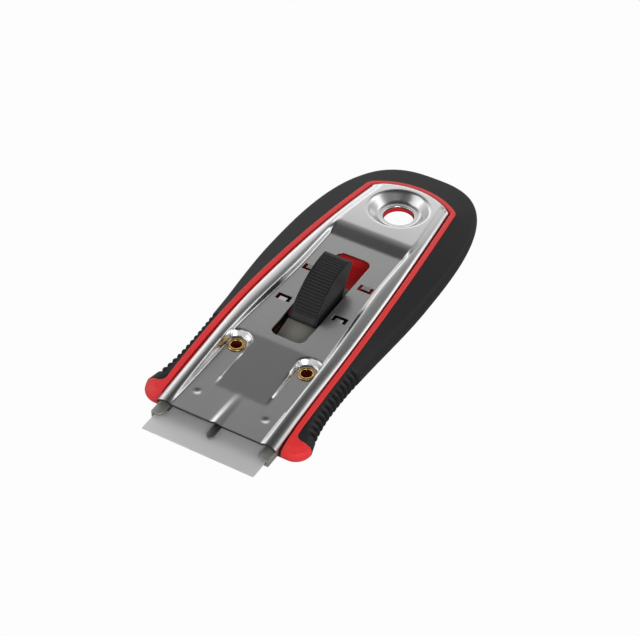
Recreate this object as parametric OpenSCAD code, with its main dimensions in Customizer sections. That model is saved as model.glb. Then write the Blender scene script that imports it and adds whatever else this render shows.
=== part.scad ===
// Retractable scraper for single-edge razor blades.
// While a piece is drawn, y = 0 is the front edge of the face plate, -y points to the blade and
// z = 0 is the underside. seat() then centres the whole tool on the origin.

/* [Handle] */
// Width of the handle's rear end behind the lip
rear_side = 10.2; // [8.5:0.1:12]
// Distance from the face plate's front edge to the front of the handle
handle_front = 1.6; // [0.8:0.1:2.4]
// Width of a front corner beside the lip
corner_side = 5.7; // [5.3:0.1:7.2]
// How far each side draws in from the front corners to the waist, beside the ribs
waist_inset = 2.75; // [1.2:0.05:3.2]
// How far each side of the belly stands inside the front corners
belly_inset = 0.2; // [0:0.05:1.5]
// Place of the waist
waist_y = 28; // [26:0.1:31]
// Place of the greatest width
belly_y = 76; // [70:0.1:80]
// Radius of the front corners in plan
corner_r = 5.5; // [4.6:0.1:6]
// Rounding from the widest line down to the underside
edge_round = 4.3; // [3:0.1:4.5]
// Height of the lip at the top of the crown
crown_z = 10; // [9.8:0.1:11]
// Place of the top of the crown
crown_y = 58; // [54:0.1:62]
// Radius of the crown in front of its top
crown_front_r = 411; // [395:1:480]
// Radius of the crown behind its top
crown_rear_r = 640; // [600:1:800]
// Step from the lip down to the grip
lip_rise = 0.35; // [0.2:0.05:0.6]

/* [Grip ribs] */
// Grooves on each side
rib_count = 13; // [6:1:14]
// Distance between grooves
rib_pitch = 2.17; // [1.6:0.01:2.2]
// Place of the first groove
rib_first = 11.5; // [10.5:0.1:12.5]
// Depth of a groove
rib_depth = 0.5; // [0.2:0.05:0.7]

/* [Core] */
// Width of the shelf between the carriage's slot and the lip
shelf_w = 0.85; // [0.6:0.05:1.2]
// How far each side of the lip draws in from the blade to the hang hole
lip_narrowing = 5.9; // [4.8:0.1:6.8]
// Thickness of the lip
lip_t = 1.6; // [1.2:0.1:1.8]
// Distance from the hang hole's centre to the rear of the lip
lip_rear_l = 15.1; // [14.6:0.1:16.2]
// Radius of the lip's rear arc
lip_arc_r = 24.3; // [22:0.1:28]
// Radius of the lip's rear corners
lip_corner_r = 3.8; // [2.8:0.1:4.5]
// Thickness of the floor under the carriage
floor_t = 2.05; // [1.6:0.05:2.2]
// Gap between the lip and the face plate
plate_gap = 0.65; // [0.3:0.05:1]

/* [Face plate] */
// Thickness of the sheet
sheet_t = 1; // [0.8:0.05:1.1]
// Height of the front panel
front_panel_z = 6.65; // [6.5:0.05:6.9]
// Height of the rear panel
rear_panel_z = 8.65; // [8.5:0.05:8.9]
// Rise of the head above the lip
head_rise = 0.9; // [0.5:0.05:1.2]
// Rise of the ridges above the crown line at the front
ridge_front_rise = 1.3; // [1.1:0.05:1.6]
// Rise of the ridges above the crown line at the middle
ridge_rise = 0.4; // [0.2:0.05:0.8]
// Width of a ridge at the front, with the slope down to the panel
ridge_w = 4.35; // [4:0.05:4.7]
// How far each ridge's inner edge draws in from the front to the window
ridge_narrowing = 2.4; // [1.9:0.05:2.6]
// Width of the window
window_w = 11.9; // [11:0.1:12.6]
// Room in the window in front of the button, with the blade out for a change
window_front_gap = 0.6; // [0.4:0.1:1.2]
// Room in the window behind the button, with the blade drawn in
window_rear_gap = 2.6; // [1.6:0.1:3]
// Flat of the rear panel behind the window
slope_gap = 6.5; // [5.6:0.1:8]
// Length of the slope up to the head
slope_l = 4.9; // [3.5:0.1:6]
// Half-width of the centre rib
rib_half = 1.7; // [1.2:0.1:2.2]
// Height of the centre rib
rib_h = 0.7; // [0.4:0.05:0.9]

/* [Hang hole] */
// Radius of the bore
hang_r = 4.95; // [4.2:0.05:5.2]
// Distance from the top of the slope to the hole's centre
hang_gap = 16.3; // [14.5:0.1:17.2]
// Radius of the flat ring round the bore
hang_ring_r = 6.4; // [6:0.1:6.8]
// Outer radius of the dish
hang_dish_r = 9.4; // [8.8:0.05:9.8]
// Height of the flat ring
hang_ring_z = 5.8; // [5.4:0.05:6.2]

/* [Eyelets] */
// Distance from an eyelet's centre to the foot of the ridge
eyelet_side = 3.22; // [3.1:0.02:3.6]
// Place of the eyelets
eyelet_y = 30.9; // [30.5:0.1:31.5]
// Radius of the hole through an eyelet
eyelet_bore_r = 1.75; // [1.4:0.05:1.8]
// Wall of an eyelet
eyelet_wall = 0.3; // [0.2:0.05:0.35]
// Radius of an eyelet's rim
eyelet_rim_r = 2.75; // [2.5:0.05:2.9]

/* [Blade] */
// Length of the cutting edge
blade_l = 38.1; // [36:0.1:38.6]
// Width of the blade, from edge to back
blade_w = 19.05; // [18:0.05:19.5]
// Thickness of the blade
blade_t = 0.25; // [0.2:0.01:0.35]
// Distance that the edge stands in front of the face plate
blade_reach = 10.1; // [9.6:0.1:10.8]
// Depth of the folded spine
spine_w = 3.95; // [3:0.05:4.2]
// Thickness of the folded spine
spine_t = 0.8; // [0.7:0.05:0.9]

/* [Carriage] */
// Sheet of the carriage
carrier_t = 0.8; // [0.6:0.05:0.9]
// Distance that the ears stand in front of the face plate
ear_reach = 3.6; // [2.5:0.1:4.5]
// Width of an ear over the blade
ear_w = 3.45; // [2.5:0.05:4]
// Width of the tongue
tongue_w = 2.3; // [1.8:0.1:3]
// Width of the stem
stem_w = 11.8; // [10:0.1:12]
// Length of the stem behind the top of the ramp
stem_tail = 8; // [7:0.1:8.4]

/* [Thumb button] */
// Width at the base
button_w = 10; // [8:0.1:10.4]
// Width at the top
button_top_w = 9; // [7:0.1:9.6]
// Height of the top above the underside of the handle
button_z = 18.1; // [16:0.1:20]
// Distance from the stem's rear end to the front of the button
button_gap = 4.6; // [4.3:0.1:5]
// Length of the button at the panel
button_l = 16.2; // [15.4:0.1:16.4]
// Overhang of the button's top behind its base
button_overhang = 6.7; // [4:0.1:8]
// Distance between the ribs on top
button_rib_pitch = 1.14; // [0.9:0.01:1.5]

/* [Travel] */
// Travel back from the scraping position
retract_travel = 14; // [13:0.1:14.2]
// Travel forward to the blade-change position
change_travel = 9; // [8:0.1:9.2]

/* [Hidden] */

// Clearances and the overrun of every cut
over = 1;
slide_gap = 0.3;
side_gap = 0.2;
thin_gap = 0.075;
pin_gap = 0.05;

// Places from front to rear: ramp, stem, lock plate between its tabs, button, window and head
ramp_front = 13.5;
ramp_rear = 36;
stem_rear = ramp_rear + stem_tail;
tab_gap = 11.25;
tab_front_y = stem_rear + tab_gap;
lock_gap = 0.2;
lock_l = 13.69;
lock_front = tab_front_y + lock_gap;
lock_rear = lock_front + lock_l;
tab_rear_y = lock_rear + lock_gap;
post_inset = 2.05;
post_pitch = 5.5;
post_front = lock_front + post_inset;
post_rear = post_front + post_pitch;
button_front = stem_rear + button_gap;
button_rear = button_front + button_l;
button_top_rear = button_rear + button_overhang;
window_front = button_front - change_travel - window_front_gap;
window_rear = button_rear + retract_travel + window_rear_gap;
slope_front = window_rear + slope_gap;
slope_rear = slope_front + slope_l;
hang_y = slope_rear + hang_gap;
lip_rear = hang_y + lip_rear_l;
handle_rear = lip_rear + rear_side;

// Half-widths from the blade outward
core_slot_half = blade_l / 2 + side_gap + carrier_t + slide_gap;
lip_front_half = core_slot_half + shelf_w + lip_t;
lip_rear_half = lip_front_half - lip_narrowing;
front_half = lip_front_half + corner_side;
waist_half = front_half - waist_inset;
belly_half = front_half - belly_inset;
ridge_inner = lip_front_half - lip_t - plate_gap - ridge_w;
ridge_inner_rear = ridge_inner - ridge_narrowing;

// Shape of the grip
flare_power = 2.5;
rear_power = 2.8;
side_share = 0.53;
corner_c = [front_half - corner_r, handle_front + corner_r];
corner_core_r = 0.3;
shoulder_inset = 1.2;
shoulder_rib_inset = 1.4;
shoulder_share = 0.6;
shoulder_rib_share = 0.3;
rib_fade = 16;
rib_last = rib_first + (rib_count - 1) * rib_pitch;
corner_steps = 5;
rib_steps = 4;
waist_steps = 8;
plain_steps = 12;
crown_steps = 36;
fillet_steps = 4;
arc_steps = 6;
front_split = 7;
split_r = 2;

// Shape of the core and its lip
lip_straight_y = 28;
lip_head_l = 11.8;
lip_rear_y = lip_rear - lip_head_l;
lip_power = 1.85;
lip_arc_y = lip_rear - lip_arc_r;

// Heights, from the core's floor upward
carrier_z = floor_t + slide_gap;
carrier_top = carrier_z + carrier_t;
spine_z = carrier_top + thin_gap;
blade_z = spine_z + (spine_t - blade_t) / 2;
ear_z = spine_z + spine_t + thin_gap;
skirt_drop = 0.3;
shelf_z = front_panel_z - sheet_t - skirt_drop;
strip_t = 0.7;
lock_t = 0.7;
lock_drop = 0.8;
lock_z = rear_panel_z - sheet_t - lock_drop - lock_t;

// Places on the face plate
foot_step = 0.7;
ridge_straight_y = 32;
ridge_taper_l = 44;
crest_inset = 2;
crest_flat = 0.3;
head_bow = 0.2;
brow_inset = 0.6;
brow_drop = 0.35;
brim_drop = 1;
pocket_r = 3.7;
eyelet_x = ridge_inner - foot_step - eyelet_side;
ramp_half = eyelet_x - pocket_r + pin_gap;
dimple_inset = 4.45;
dimple_x = ridge_inner - dimple_inset;
dimple_y = 8.6;
dimple_r = 1.45;
dimple_depth = 0.35;
centre_rib_l = 14.5;
slot_w = 0.76;
tab_window_gap = 1.48;
tab_ridge_gap = 0.77;
tab_inner = window_w / 2 + tab_window_gap;
tab_outer = ridge_inner_rear - foot_step - tab_ridge_gap;
tab_l = 1.6;
tab_angle = 9;
window_r = 2.5;
plate_stations = 6;

// Pockets in the core
stem_slot_half = stem_w / 2 + 2 * side_gap;
hang_flare_r = 9;
hang_web_t = 1.5;
eyelet_boss_r = 3.5;
eyelet_seat_t = 1.1;
eyelet_roll = 0.5;
eyelet_out_r = eyelet_bore_r + eyelet_wall;

// Carriage, clip, spring and lock
blade_back = blade_w - blade_reach;
clip_foot_l = 3;
clip_gap = 1.05;
clip_t = 0.5;
clip_lip = 0.4;
clip_foot_w = 6.9;
carrier_rear = blade_back + clip_gap + clip_foot_l - clip_lip;
ear_l = 9.6;
ear_r = 1.5;
rivet_r = 0.9;
rivet_head_r = 1.4;
rivet_head_h = 0.5;
root_l = 10;
spring_rise_l = 10;
spring_tip_l = 15;
lock_half = tab_outer - lock_gap;
lock_corner_r = 1.4;
core_rear_slot_half = lock_half + slide_gap;
post_r = 1.2;
post_head_r = 1.9;
post_head_h = 0.5;
post_root = 0.5;
notch = 3;
notch_y = -0.5;
bevel_w = 0.75;
button_nose_l = 0.9;
button_nose_y = button_front + button_nose_l;
button_nose_z = 9.6;
button_frame = 1;
button_rib_depth = 0.35;
button_waist = 0.25;
button_corner_r = 2.4;
button_arc_steps = 8;

whole_mid = (handle_rear - blade_reach) / 2;

module seat() {
    translate([0, -whole_mid, 0]) children();
}

function smooth(t) = let (s = min(max(t, 0), 1)) s * s * (3 - 2 * s);
function mix(a, b, t) = a + (b - a) * t;
function mirrored(half) = concat(half, [for (i = [len(half) - 2 : -1 : 0]) [-half[i].x, half[i].y]]);
function crown(y) = crown_z - pow(y - crown_y, 2) / (2 * (y < crown_y ? crown_front_r : crown_rear_r));

// Half-width of the lip's outer face, then the outline of the core drawn in by d
function lip_half(y) = let (t = max(y - lip_straight_y, 0) / (lip_rear_y - lip_straight_y))
    lip_front_half - (lip_front_half - lip_rear_half) * pow(t, lip_power);
function fillet_y(x) = lip_arc_y + sqrt(pow(lip_arc_r - lip_corner_r, 2) - x * x);
lip_corner_x = lip_half(fillet_y(lip_rear_half - lip_corner_r)) - lip_corner_r;
lip_corner_y = fillet_y(lip_corner_x);
lip_corner_a = asin(lip_corner_x / (lip_arc_r - lip_corner_r));
function turn(centre, r, a) = centre + r * [sin(a), cos(a)];
function core_rear_points(d) = concat(
    [for (k = [1 : fillet_steps]) turn([lip_corner_x, lip_corner_y], lip_corner_r - d,
        mix(90, lip_corner_a, k / fillet_steps))],
    [for (k = [1 : arc_steps]) turn([0, lip_arc_y], lip_arc_r - d, mix(lip_corner_a, 0, k / arc_steps))]);
function core_side_points(d, front) = concat(
    [[lip_half(front) - d, front]],
    [for (k = [0 : plain_steps]) let (y = mix(lip_straight_y, lip_corner_y, k / plain_steps))
        [lip_half(y) - d, y]]);
function core_outline(d, front) = mirrored(concat(core_side_points(d, front), core_rear_points(d)));

// Half-width of the grip at its widest line
function grip_half(y) = y < waist_y
    ? waist_half + (front_half - waist_half) * pow((waist_y - y) / (waist_y - corner_c.y), flare_power)
    : y < belly_y
    ? mix(waist_half, belly_half, smooth((y - waist_y) / (belly_y - waist_y)))
    : belly_half * pow(1 - pow((y - belly_y) / (handle_rear - belly_y), rear_power), 1 / rear_power);

// Places along the side: at the grooves four to a pitch, then wider apart
function side_places(ribbed) = concat(
    [for (k = [0 : rib_count * (ribbed ? rib_steps : 1)])
        rib_first + rib_pitch * (k / (ribbed ? rib_steps : 1) - 0.5)],
    [for (k = [1 : waist_steps]) mix(rib_last + rib_pitch / 2, lip_corner_y, k / waist_steps)]);
function rear_start() = asin(pow((lip_corner_y - belly_y) / (handle_rear - belly_y), rear_power / 2));
function rear_point(a) = [belly_half * pow(cos(a), 2 / rear_power),
    belly_y + (handle_rear - belly_y) * pow(sin(a), 2 / rear_power)];

// The grip's outline and, point for point, the line at the lip that its top surface rises to
function grip_outline(ribbed) = mirrored(concat(
    [for (k = [0 : corner_steps]) turn(corner_c, corner_r, mix(180, 90, k / corner_steps))],
    [for (y = side_places(ribbed)) [grip_half(y), y]],
    [for (k = [1 : fillet_steps + arc_steps])
        rear_point(mix(rear_start(), 90, k / (fillet_steps + arc_steps)))]));
function lip_line(ribbed) = mirrored(concat(
    [for (k = [0 : corner_steps]) turn(corner_c, corner_core_r, mix(180, 90, k / corner_steps))],
    [for (y = side_places(ribbed)) [lip_half(y), y]],
    core_rear_points(0)));

function rib_zone(y) = 1 - smooth((y - rib_last) / rib_fade);
function side_z(y) = side_share * (crown(y) - lip_rise);
function shoulder_z(y) = mix(side_z(y), crown(y) - lip_rise,
    shoulder_share + shoulder_rib_share * rib_zone(y));
function shoulder_in(y) = shoulder_inset + shoulder_rib_inset * rib_zone(y);
function groove(p, ribbed) = !ribbed || p.y < rib_first - rib_pitch / 2 || p.y > rib_last + rib_pitch / 2
    ? 0
    : rib_depth * (1 - abs(sin(180 * (p.y - rib_first) / rib_pitch)));
function inward(line, i) = let (n = len(line), d = line[(i + 1) % n] - line[(i + n - 1) % n])
    [-d.y, d.x] / norm(d);
function ring(line, ribbed, in_share, up) = [for (i = [0 : len(line) - 1])
    let (p = line[i], q = p + inward(line, i) * (in_share(p.y) + groove(p, ribbed))) [q.x, q.y, up(p.y)]];

// Outer form of the handle: rounded under, widest low on the side, with a shoulder below the lip
module pillow(ribbed) {
    line = grip_outline(ribbed);
    top = lip_line(ribbed);
    n = len(line);
    upper_share = 0.4;
    upper_rise_share = 0.55;
    rings = concat(
        [for (a = [0, 30, 60, 90]) ring(line, ribbed, function (y) edge_round * (1 - sin(a)),
            function (y) side_z(y) * (1 - cos(a)))],
        [ring(line, ribbed, function (y) upper_share * shoulder_in(y),
            function (y) mix(side_z(y), shoulder_z(y), upper_rise_share))],
        [ring(line, ribbed, function (y) shoulder_in(y), function (y) shoulder_z(y))],
        [[for (p = top) [p.x, p.y, crown(p.y) - lip_rise]]]);
    last = len(rings) - 1;
    walls = [for (j = [0 : last - 1]) for (i = [0 : n - 1]) let (k = (i + 1) % n)
        for (face = [[j * n + i, (j + 1) * n + k, j * n + k], [j * n + i, (j + 1) * n + i, (j + 1) * n + k]])
            face];
    caps = concat(cap(n, 0, false), cap(n, last * n, true));
    polyhedron([for (r = rings) for (p = r) p], concat(walls, caps), convexity = 6);
}

// Strips across a ring of n points between each point and its mirror image
function cap(n, first, upward) = [for (i = [0 : (n - 3) / 2])
    let (a = first + i, b = a + 1, c = first + n - 2 - i, strip = b == c ? [a, b, c + 1] : [a, b, c, c + 1])
        upward ? [for (k = [len(strip) - 1 : -1 : 0]) strip[k]] : strip];

// Plan of the handle's front, which belongs to the core: a strip with a curve up to the lip
module front_plan() {
    curve_c = [lip_front_half + split_r, front_split + split_r];
    curve = [for (k = [0 : corner_steps]) curve_c - split_r * [cos(90 * k / corner_steps),
        sin(90 * k / corner_steps)]];
    side = concat([[front_half + over, handle_front - over], [front_half + over, front_split]],
        [for (k = [corner_steps : -1 : 0]) curve[k]], [[0, front_split + split_r]]);
    polygon(mirrored(side));
}

// Solid of the given plan from the underside up to the crown line
module crowned() {
    first = front_split;
    last = lip_rear + over;
    side = concat([[first, 0]], [for (k = [0 : crown_steps]) let (y = mix(first, last, k / crown_steps))
        [y, crown(y)]], [[last, 0]]);
    intersection() {
        linear_extrude(height = crown_z + over) children();
        translate([-front_half, 0, 0]) rotate([90, 0, 90]) linear_extrude(height = 2 * front_half)
            polygon(side);
    }
}

module handle_core() {
    core_top = crown_z + over;
    color([0.86, 0.2, 0.2]) seat() difference() {
        union() {
            crowned() polygon(core_outline(0, front_split + split_r / 2));
            intersection() {
                pillow(false);
                translate([0, 0, -over]) linear_extrude(height = core_top + over) front_plan();
            }
        }
        core_bed(core_top);
        carriage_room(core_top);
        core_bores();
    }
}

// Room for the face plate and its dish inside the lip, with a boss left under each eyelet
module core_bed(top) {
    difference() {
        translate([0, 0, shelf_z]) linear_extrude(height = top)
            polygon(core_outline(lip_t, handle_front - over));
        for (side = [-1, 1]) translate([side * eyelet_x, eyelet_y, 0])
            cylinder(h = front_panel_z - sheet_t, r = eyelet_boss_r, $fn = 48);
    }
    translate([0, hang_y, hang_ring_z - sheet_t]) cylinder(h = top, r = hang_dish_r, $fn = 64);
}

// Slots that the carriage, the stem and the lock plate run in
module carriage_room(top) {
    front_l = carrier_rear + retract_travel + slide_gap;
    lock_room_front = lock_front - change_travel - slide_gap;
    lock_room_rear = lock_rear + retract_travel + 2 * slide_gap;
    translate([-core_slot_half, -over, floor_t]) cube([2 * core_slot_half, front_l + over, top]);
    translate([-stem_slot_half, 0, floor_t]) cube([2 * stem_slot_half, lock_room_rear, top]);
    translate([-core_rear_slot_half, lock_room_front, floor_t])
        cube([2 * core_rear_slot_half, lock_room_rear - lock_room_front, top]);
}

module core_bores() {
    web_z = hang_ring_z - sheet_t - hang_web_t;
    translate([0, hang_y, -over]) cylinder(h = front_panel_z + over, r = hang_r, $fn = 64);
    translate([0, hang_y, 0]) rotate_extrude($fn = 64)
        polygon([[0, -over], [hang_flare_r, -over], [hang_flare_r, 0], [hang_r, web_z], [0, web_z]]);
    for (side = [-1, 1]) translate([side * eyelet_x, eyelet_y, 0]) {
        translate([0, 0, -over]) cylinder(h = front_panel_z + over, r = eyelet_out_r + pin_gap, $fn = 48);
        translate([0, 0, -over]) cylinder(h = eyelet_seat_t + over, r = eyelet_rim_r + side_gap, $fn = 48);
    }
}

module grip() {
    color([0.2, 0.2, 0.21]) seat() difference() {
        pillow(true);
        translate([0, 0, -over]) linear_extrude(height = crown_z + 2 * over) union() {
            polygon(core_outline(0, handle_front - over));
            front_plan();
        }
    }
}

// Heights and half-widths along the face plate
function centre_z(y) = y < slope_front
    ? mix(front_panel_z, rear_panel_z, min(max((y - ramp_front) / (ramp_rear - ramp_front), 0), 1))
    : mix(rear_panel_z, crown(y) + head_rise, min((y - slope_front) / (slope_rear - slope_front), 1));
function crest_rise(y) = y < crown_y
    ? ridge_rise + (ridge_front_rise - ridge_rise) * pow((crown_y - y) / crown_y, 2)
    : mix(ridge_rise, head_rise - crest_flat, smooth((y - crown_y) / (slope_rear - crown_y)));
function crest_z(y) = crown(y) + crest_rise(y);
function plate_half(y) = lip_half(y) - lip_t - plate_gap;
function edge_x(y) = min(plate_half(y) - crest_inset - foot_step,
    mix(ridge_inner, ridge_inner_rear, smooth((y - ridge_straight_y) / ridge_taper_l)));
function edge_drop(y) = mix(crest_flat, -head_bow, smooth((y - slope_front) / (slope_rear - slope_front)));

// Right half of the plate's cross section at y, for the face of the sheet d below the top
function plate_section(y, d) = let (zc = centre_z(y), ze = crest_z(y), xe = edge_x(y), xo = plate_half(y))
    [[xe - foot_step + d, zc - d], [xe + d / 2, ze - edge_drop(y) - d],
    [xo - crest_inset, ze - d], [xo - brow_inset - d / 2, ze - brow_drop - d],
    [xo - d, ze - brim_drop - d], [xo + over, ze - brim_drop - d]];
function stretch(a, b, n) = [for (k = [0 : n - 1]) mix(a, b, k / n)];
function plate_places(d) = concat(d > 0 ? [-over] : [], stretch(0, ramp_front, 2),
    stretch(ramp_front, ramp_rear, 4), stretch(ramp_rear, slope_front, plate_stations),
    stretch(slope_front, slope_rear, 2), stretch(slope_rear, lip_rear, plate_stations), [lip_rear]);

// Solid between the cross sections and the shelf; each row holds its top points, then those below them
module plate_loft(d) {
    places = plate_places(d);
    m = len(places);
    w = 2 * len(plate_section(0, d));
    rows = [for (y = places) let (half = plate_section(y, d), s = concat(
        [for (i = [len(half) - 1 : -1 : 0]) [-half[i].x, half[i].y]], half))
        concat([for (p = s) [p.x, y, p.y]], [for (p = s) [p.x, y, shelf_z - d]])];
    tops = [for (j = [0 : m - 2]) for (i = [0 : w - 2]) let (a = 2 * w * j + i, b = a + 2 * w)
        for (face = [[a, b, b + 1], [a, b + 1, a + 1]]) face];
    bases = [for (j = [0 : m - 2]) for (i = [0 : w - 2]) let (a = 2 * w * j + w + i, b = a + 2 * w)
        [a, a + 1, b + 1, b]];
    sides = [for (j = [0 : m - 2]) let (a = 2 * w * j, b = a + 2 * w)
        for (face = [[a, a + w, b + w, b], [a + w - 1, b + w - 1, b + 2 * w - 1, a + 2 * w - 1]]) face];
    last = 2 * w * (m - 1);
    ends = [for (i = [0 : w - 2]) for (face = [[i, i + 1, w + i + 1, w + i],
        [last + i, last + w + i, last + w + i + 1, last + i + 1]]) face];
    polyhedron([for (r = rows) for (p = r) p], concat(tops, bases, sides, ends), convexity = 6);
}

// Solid under one face of the sheet: d = 0 is its top, d = sheet_t its underside
module plate_form(d) {
    under = d > 0 ? over : 0;
    front = d > 0 ? -over : 0;
    difference() {
        union() {
            intersection() {
                translate([0, 0, shelf_z - under]) linear_extrude(height = crown_z)
                    polygon(core_outline(lip_t + plate_gap + d, front));
                union() {
                    plate_loft(d);
                    centre_rib(d);
                }
            }
            if (d == 0) hang_plug();
        }
        for (side = [-1, 1]) pocket(side, d);
        hang_dish(d);
    }
}

module centre_rib(d) {
    r = (rib_half * rib_half + rib_h * rib_h) / (2 * rib_h);
    lean = atan(rib_h / centre_rib_l);
    translate([0, 0, front_panel_z + rib_h - r]) rotate([-90 - lean, 0, 0]) translate([0, 0, -over])
        cylinder(h = centre_rib_l + 2 * over, r = r - d, $fn = 48);
}

// Recess at the front panel's height beside the ramp and round an eyelet
module pocket(side, d) {
    foot = ridge_inner - foot_step + d;
    inner = ramp_half - d;
    translate([0, 0, front_panel_z - d]) linear_extrude(height = crown_z) union() {
        translate([side > 0 ? inner : -foot, ramp_front]) square([foot - inner, eyelet_y - ramp_front]);
        intersection() {
            translate([side * eyelet_x, eyelet_y]) circle(r = pocket_r + d, $fn = 64);
            translate([side > 0 ? inner : -foot - over, ramp_front])
                square([foot + over - inner, eyelet_y]);
        }
    }
}

hang_rise = crown(hang_y) + head_rise - hang_ring_z;
hang_slope = (hang_dish_r - hang_ring_r) / hang_rise;
function hang_foot_r(d) = hang_ring_r + d * (sqrt(2) - 1);

// Material for the part of the dish below the rest of the sheet
module hang_plug() {
    h = front_panel_z - hang_ring_z;
    translate([0, hang_y, hang_ring_z - sheet_t])
        cylinder(h = h, r1 = hang_foot_r(sheet_t), r2 = hang_foot_r(sheet_t) + hang_slope * h, $fn = 64);
}

module hang_dish(d) {
    rise = hang_rise + over;
    translate([0, hang_y, hang_ring_z - d]) rotate_extrude($fn = 64)
        polygon([[0, 0], [hang_foot_r(d), 0], [hang_foot_r(d) + hang_slope * rise, rise], [0, rise]]);
}

module rounded_rect(w, l, r) {
    square([w - 2 * r, l], center = true);
    square([w, l - 2 * r], center = true);
    for (x = [-1, 1]) for (y = [-1, 1]) translate([x * (w / 2 - r), y * (l / 2 - r)]) circle(r = r, $fn = 32);
}

// Cut that frees a tab, whose free end is at y and points along way
module tab_slot(y, way) {
    w = tab_outer - tab_inner;
    root_y = y - way * (tab_l + slot_w / 2);
    translate([tab_inner, min(root_y, y + way * slot_w / 2), rear_panel_z - sheet_t - over])
        cube([w, tab_l + slot_w, sheet_t + 2 * over]);
}

module tab(y, way) {
    w = tab_outer - tab_inner - 2 * slot_w;
    root_y = y - way * (tab_l + slot_w / 2);
    translate([tab_inner + slot_w, root_y, rear_panel_z]) rotate([-way * tab_angle, 0, 0])
        translate([0, way > 0 ? -pin_gap : -tab_l, -sheet_t]) cube([w, tab_l + pin_gap, sheet_t]);
}

module face_plate() {
    color([0.72, 0.73, 0.74]) seat() {
        difference() {
            plate_form(0);
            plate_form(sheet_t);
            translate([0, (window_front + window_rear) / 2, rear_panel_z - sheet_t - over])
                linear_extrude(height = sheet_t + 2 * over)
                    rounded_rect(window_w, window_rear - window_front, window_r);
            for (flip = [0, 1]) mirror([flip, 0, 0]) {
                tab_slot(tab_front_y, 1);
                tab_slot(tab_rear_y, -1);
                translate([eyelet_x, eyelet_y, shelf_z])
                    cylinder(h = front_panel_z, r = eyelet_out_r + pin_gap, $fn = 48);
                dimple();
            }
            translate([0, hang_y, 0]) cylinder(h = front_panel_z, r = hang_r, $fn = 64);
        }
        for (flip = [0, 1]) mirror([flip, 0, 0]) {
            tab(tab_front_y, 1);
            tab(tab_rear_y, -1);
        }
    }
}

module dimple() {
    r = (dimple_r * dimple_r + dimple_depth * dimple_depth) / (2 * dimple_depth);
    translate([dimple_x, dimple_y, front_panel_z - dimple_depth + r]) sphere(r = r, $fn = 48);
}

// Brass tube with a rolled rim above the plate and another in the core's underside
module eyelet(side) {
    rim_z = front_panel_z + eyelet_roll;
    foot_z = eyelet_seat_t - eyelet_roll;
    bell = eyelet_roll / 2;
    profile = [[eyelet_bore_r, foot_z + bell], [eyelet_bore_r + bell, foot_z], [eyelet_rim_r - bell, foot_z],
        [eyelet_rim_r, foot_z + bell], [eyelet_rim_r, eyelet_seat_t], [eyelet_out_r, eyelet_seat_t],
        [eyelet_out_r, front_panel_z], [eyelet_rim_r, front_panel_z], [eyelet_rim_r, front_panel_z + bell],
        [eyelet_rim_r - bell, rim_z], [eyelet_bore_r + bell, rim_z], [eyelet_bore_r, rim_z - bell]];
    color([0.76, 0.62, 0.34]) seat() translate([side * eyelet_x, eyelet_y, 0])
        rotate_extrude($fn = 64) polygon(profile);
}

module eyelet_left() {
    eyelet(-1);
}

module eyelet_right() {
    eyelet(1);
}

// Folded sheet: a base, a side wall beside each end of the blade and an ear over it, and a stem
module blade_carrier() {
    wall_in = blade_l / 2 + side_gap;
    wall_out = wall_in + carrier_t;
    base_l = carrier_rear + ear_reach;
    ear_top = ear_z + carrier_t - thin_gap;
    color([0.5, 0.5, 0.49]) seat() difference() {
        union() {
            translate([-wall_out, -ear_reach, carrier_z]) cube([2 * wall_out, base_l, carrier_t]);
            translate([-stem_w / 2, 0, carrier_z]) cube([stem_w, stem_rear, carrier_t]);
            for (flip = [0, 1]) mirror([flip, 0, 0]) {
                translate([wall_in, -ear_reach, carrier_z]) cube([carrier_t, ear_l, ear_top - carrier_z]);
                translate([wall_out - ear_w, -ear_reach, ear_z]) linear_extrude(height = ear_top - ear_z)
                    ear_plan();
            }
        }
        translate([0, carrier_rear - clip_foot_l / 2, carrier_z - over])
            cylinder(h = carrier_t + 2 * over, r = rivet_r + pin_gap, $fn = 32);
        for (y = stem_rivets()) translate([0, y, carrier_z - over])
            cylinder(h = carrier_t + 2 * over, r = rivet_r + side_gap, $fn = 32);
    }
}

module ear_plan() {
    translate([ear_r, 0]) square([ear_w - ear_r, ear_l]);
    translate([0, ear_r]) square([ear_w, ear_l - ear_r]);
    translate([ear_r, ear_r]) circle(r = ear_r, $fn = 32);
}

function stem_rivets() = [stem_rear - root_l + clip_foot_l, stem_rear - clip_foot_l];

// Strip over the middle of the blade, stepped down to a foot on the carriage
module blade_clip() {
    tip_r = tongue_w / 2;
    foot_front = carrier_rear - clip_foot_l;
    tip_y = -ear_reach - clip_lip + tip_r;
    color([0.34, 0.34, 0.33]) seat() difference() {
        union() {
            translate([0, tip_y, ear_z]) cylinder(h = clip_t, r = tip_r, $fn = 32);
            translate([-tip_r, tip_y, ear_z]) cube([tongue_w, foot_front - tip_y, clip_t]);
            translate([-clip_foot_w / 2, foot_front - clip_t, carrier_top])
                cube([clip_foot_w, clip_t, ear_z + clip_t - carrier_top]);
            translate([-clip_foot_w / 2, foot_front - clip_t, carrier_top])
                cube([clip_foot_w, clip_foot_l + clip_t, clip_t]);
        }
        translate([0, carrier_rear - clip_foot_l / 2, carrier_z - over])
            cylinder(h = ear_z + over, r = rivet_r + pin_gap, $fn = 32);
    }
}

// Rivet flush with the underside of the carriage, with a low head on top at z
module rivet(y, z) {
    color([0.6, 0.6, 0.58]) seat() translate([0, y, 0]) union() {
        translate([0, 0, carrier_z]) cylinder(h = z - carrier_z + rivet_head_h / 2, r = rivet_r, $fn = 32);
        translate([0, 0, z]) rotate_extrude($fn = 32) polygon([[0, 0], [rivet_head_r, 0],
            [rivet_head_r, rivet_head_h / 2], [rivet_r, rivet_head_h], [0, rivet_head_h]]);
    }
}

module clip_rivet() {
    rivet(carrier_rear - clip_foot_l / 2, carrier_top + clip_t);
}

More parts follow.
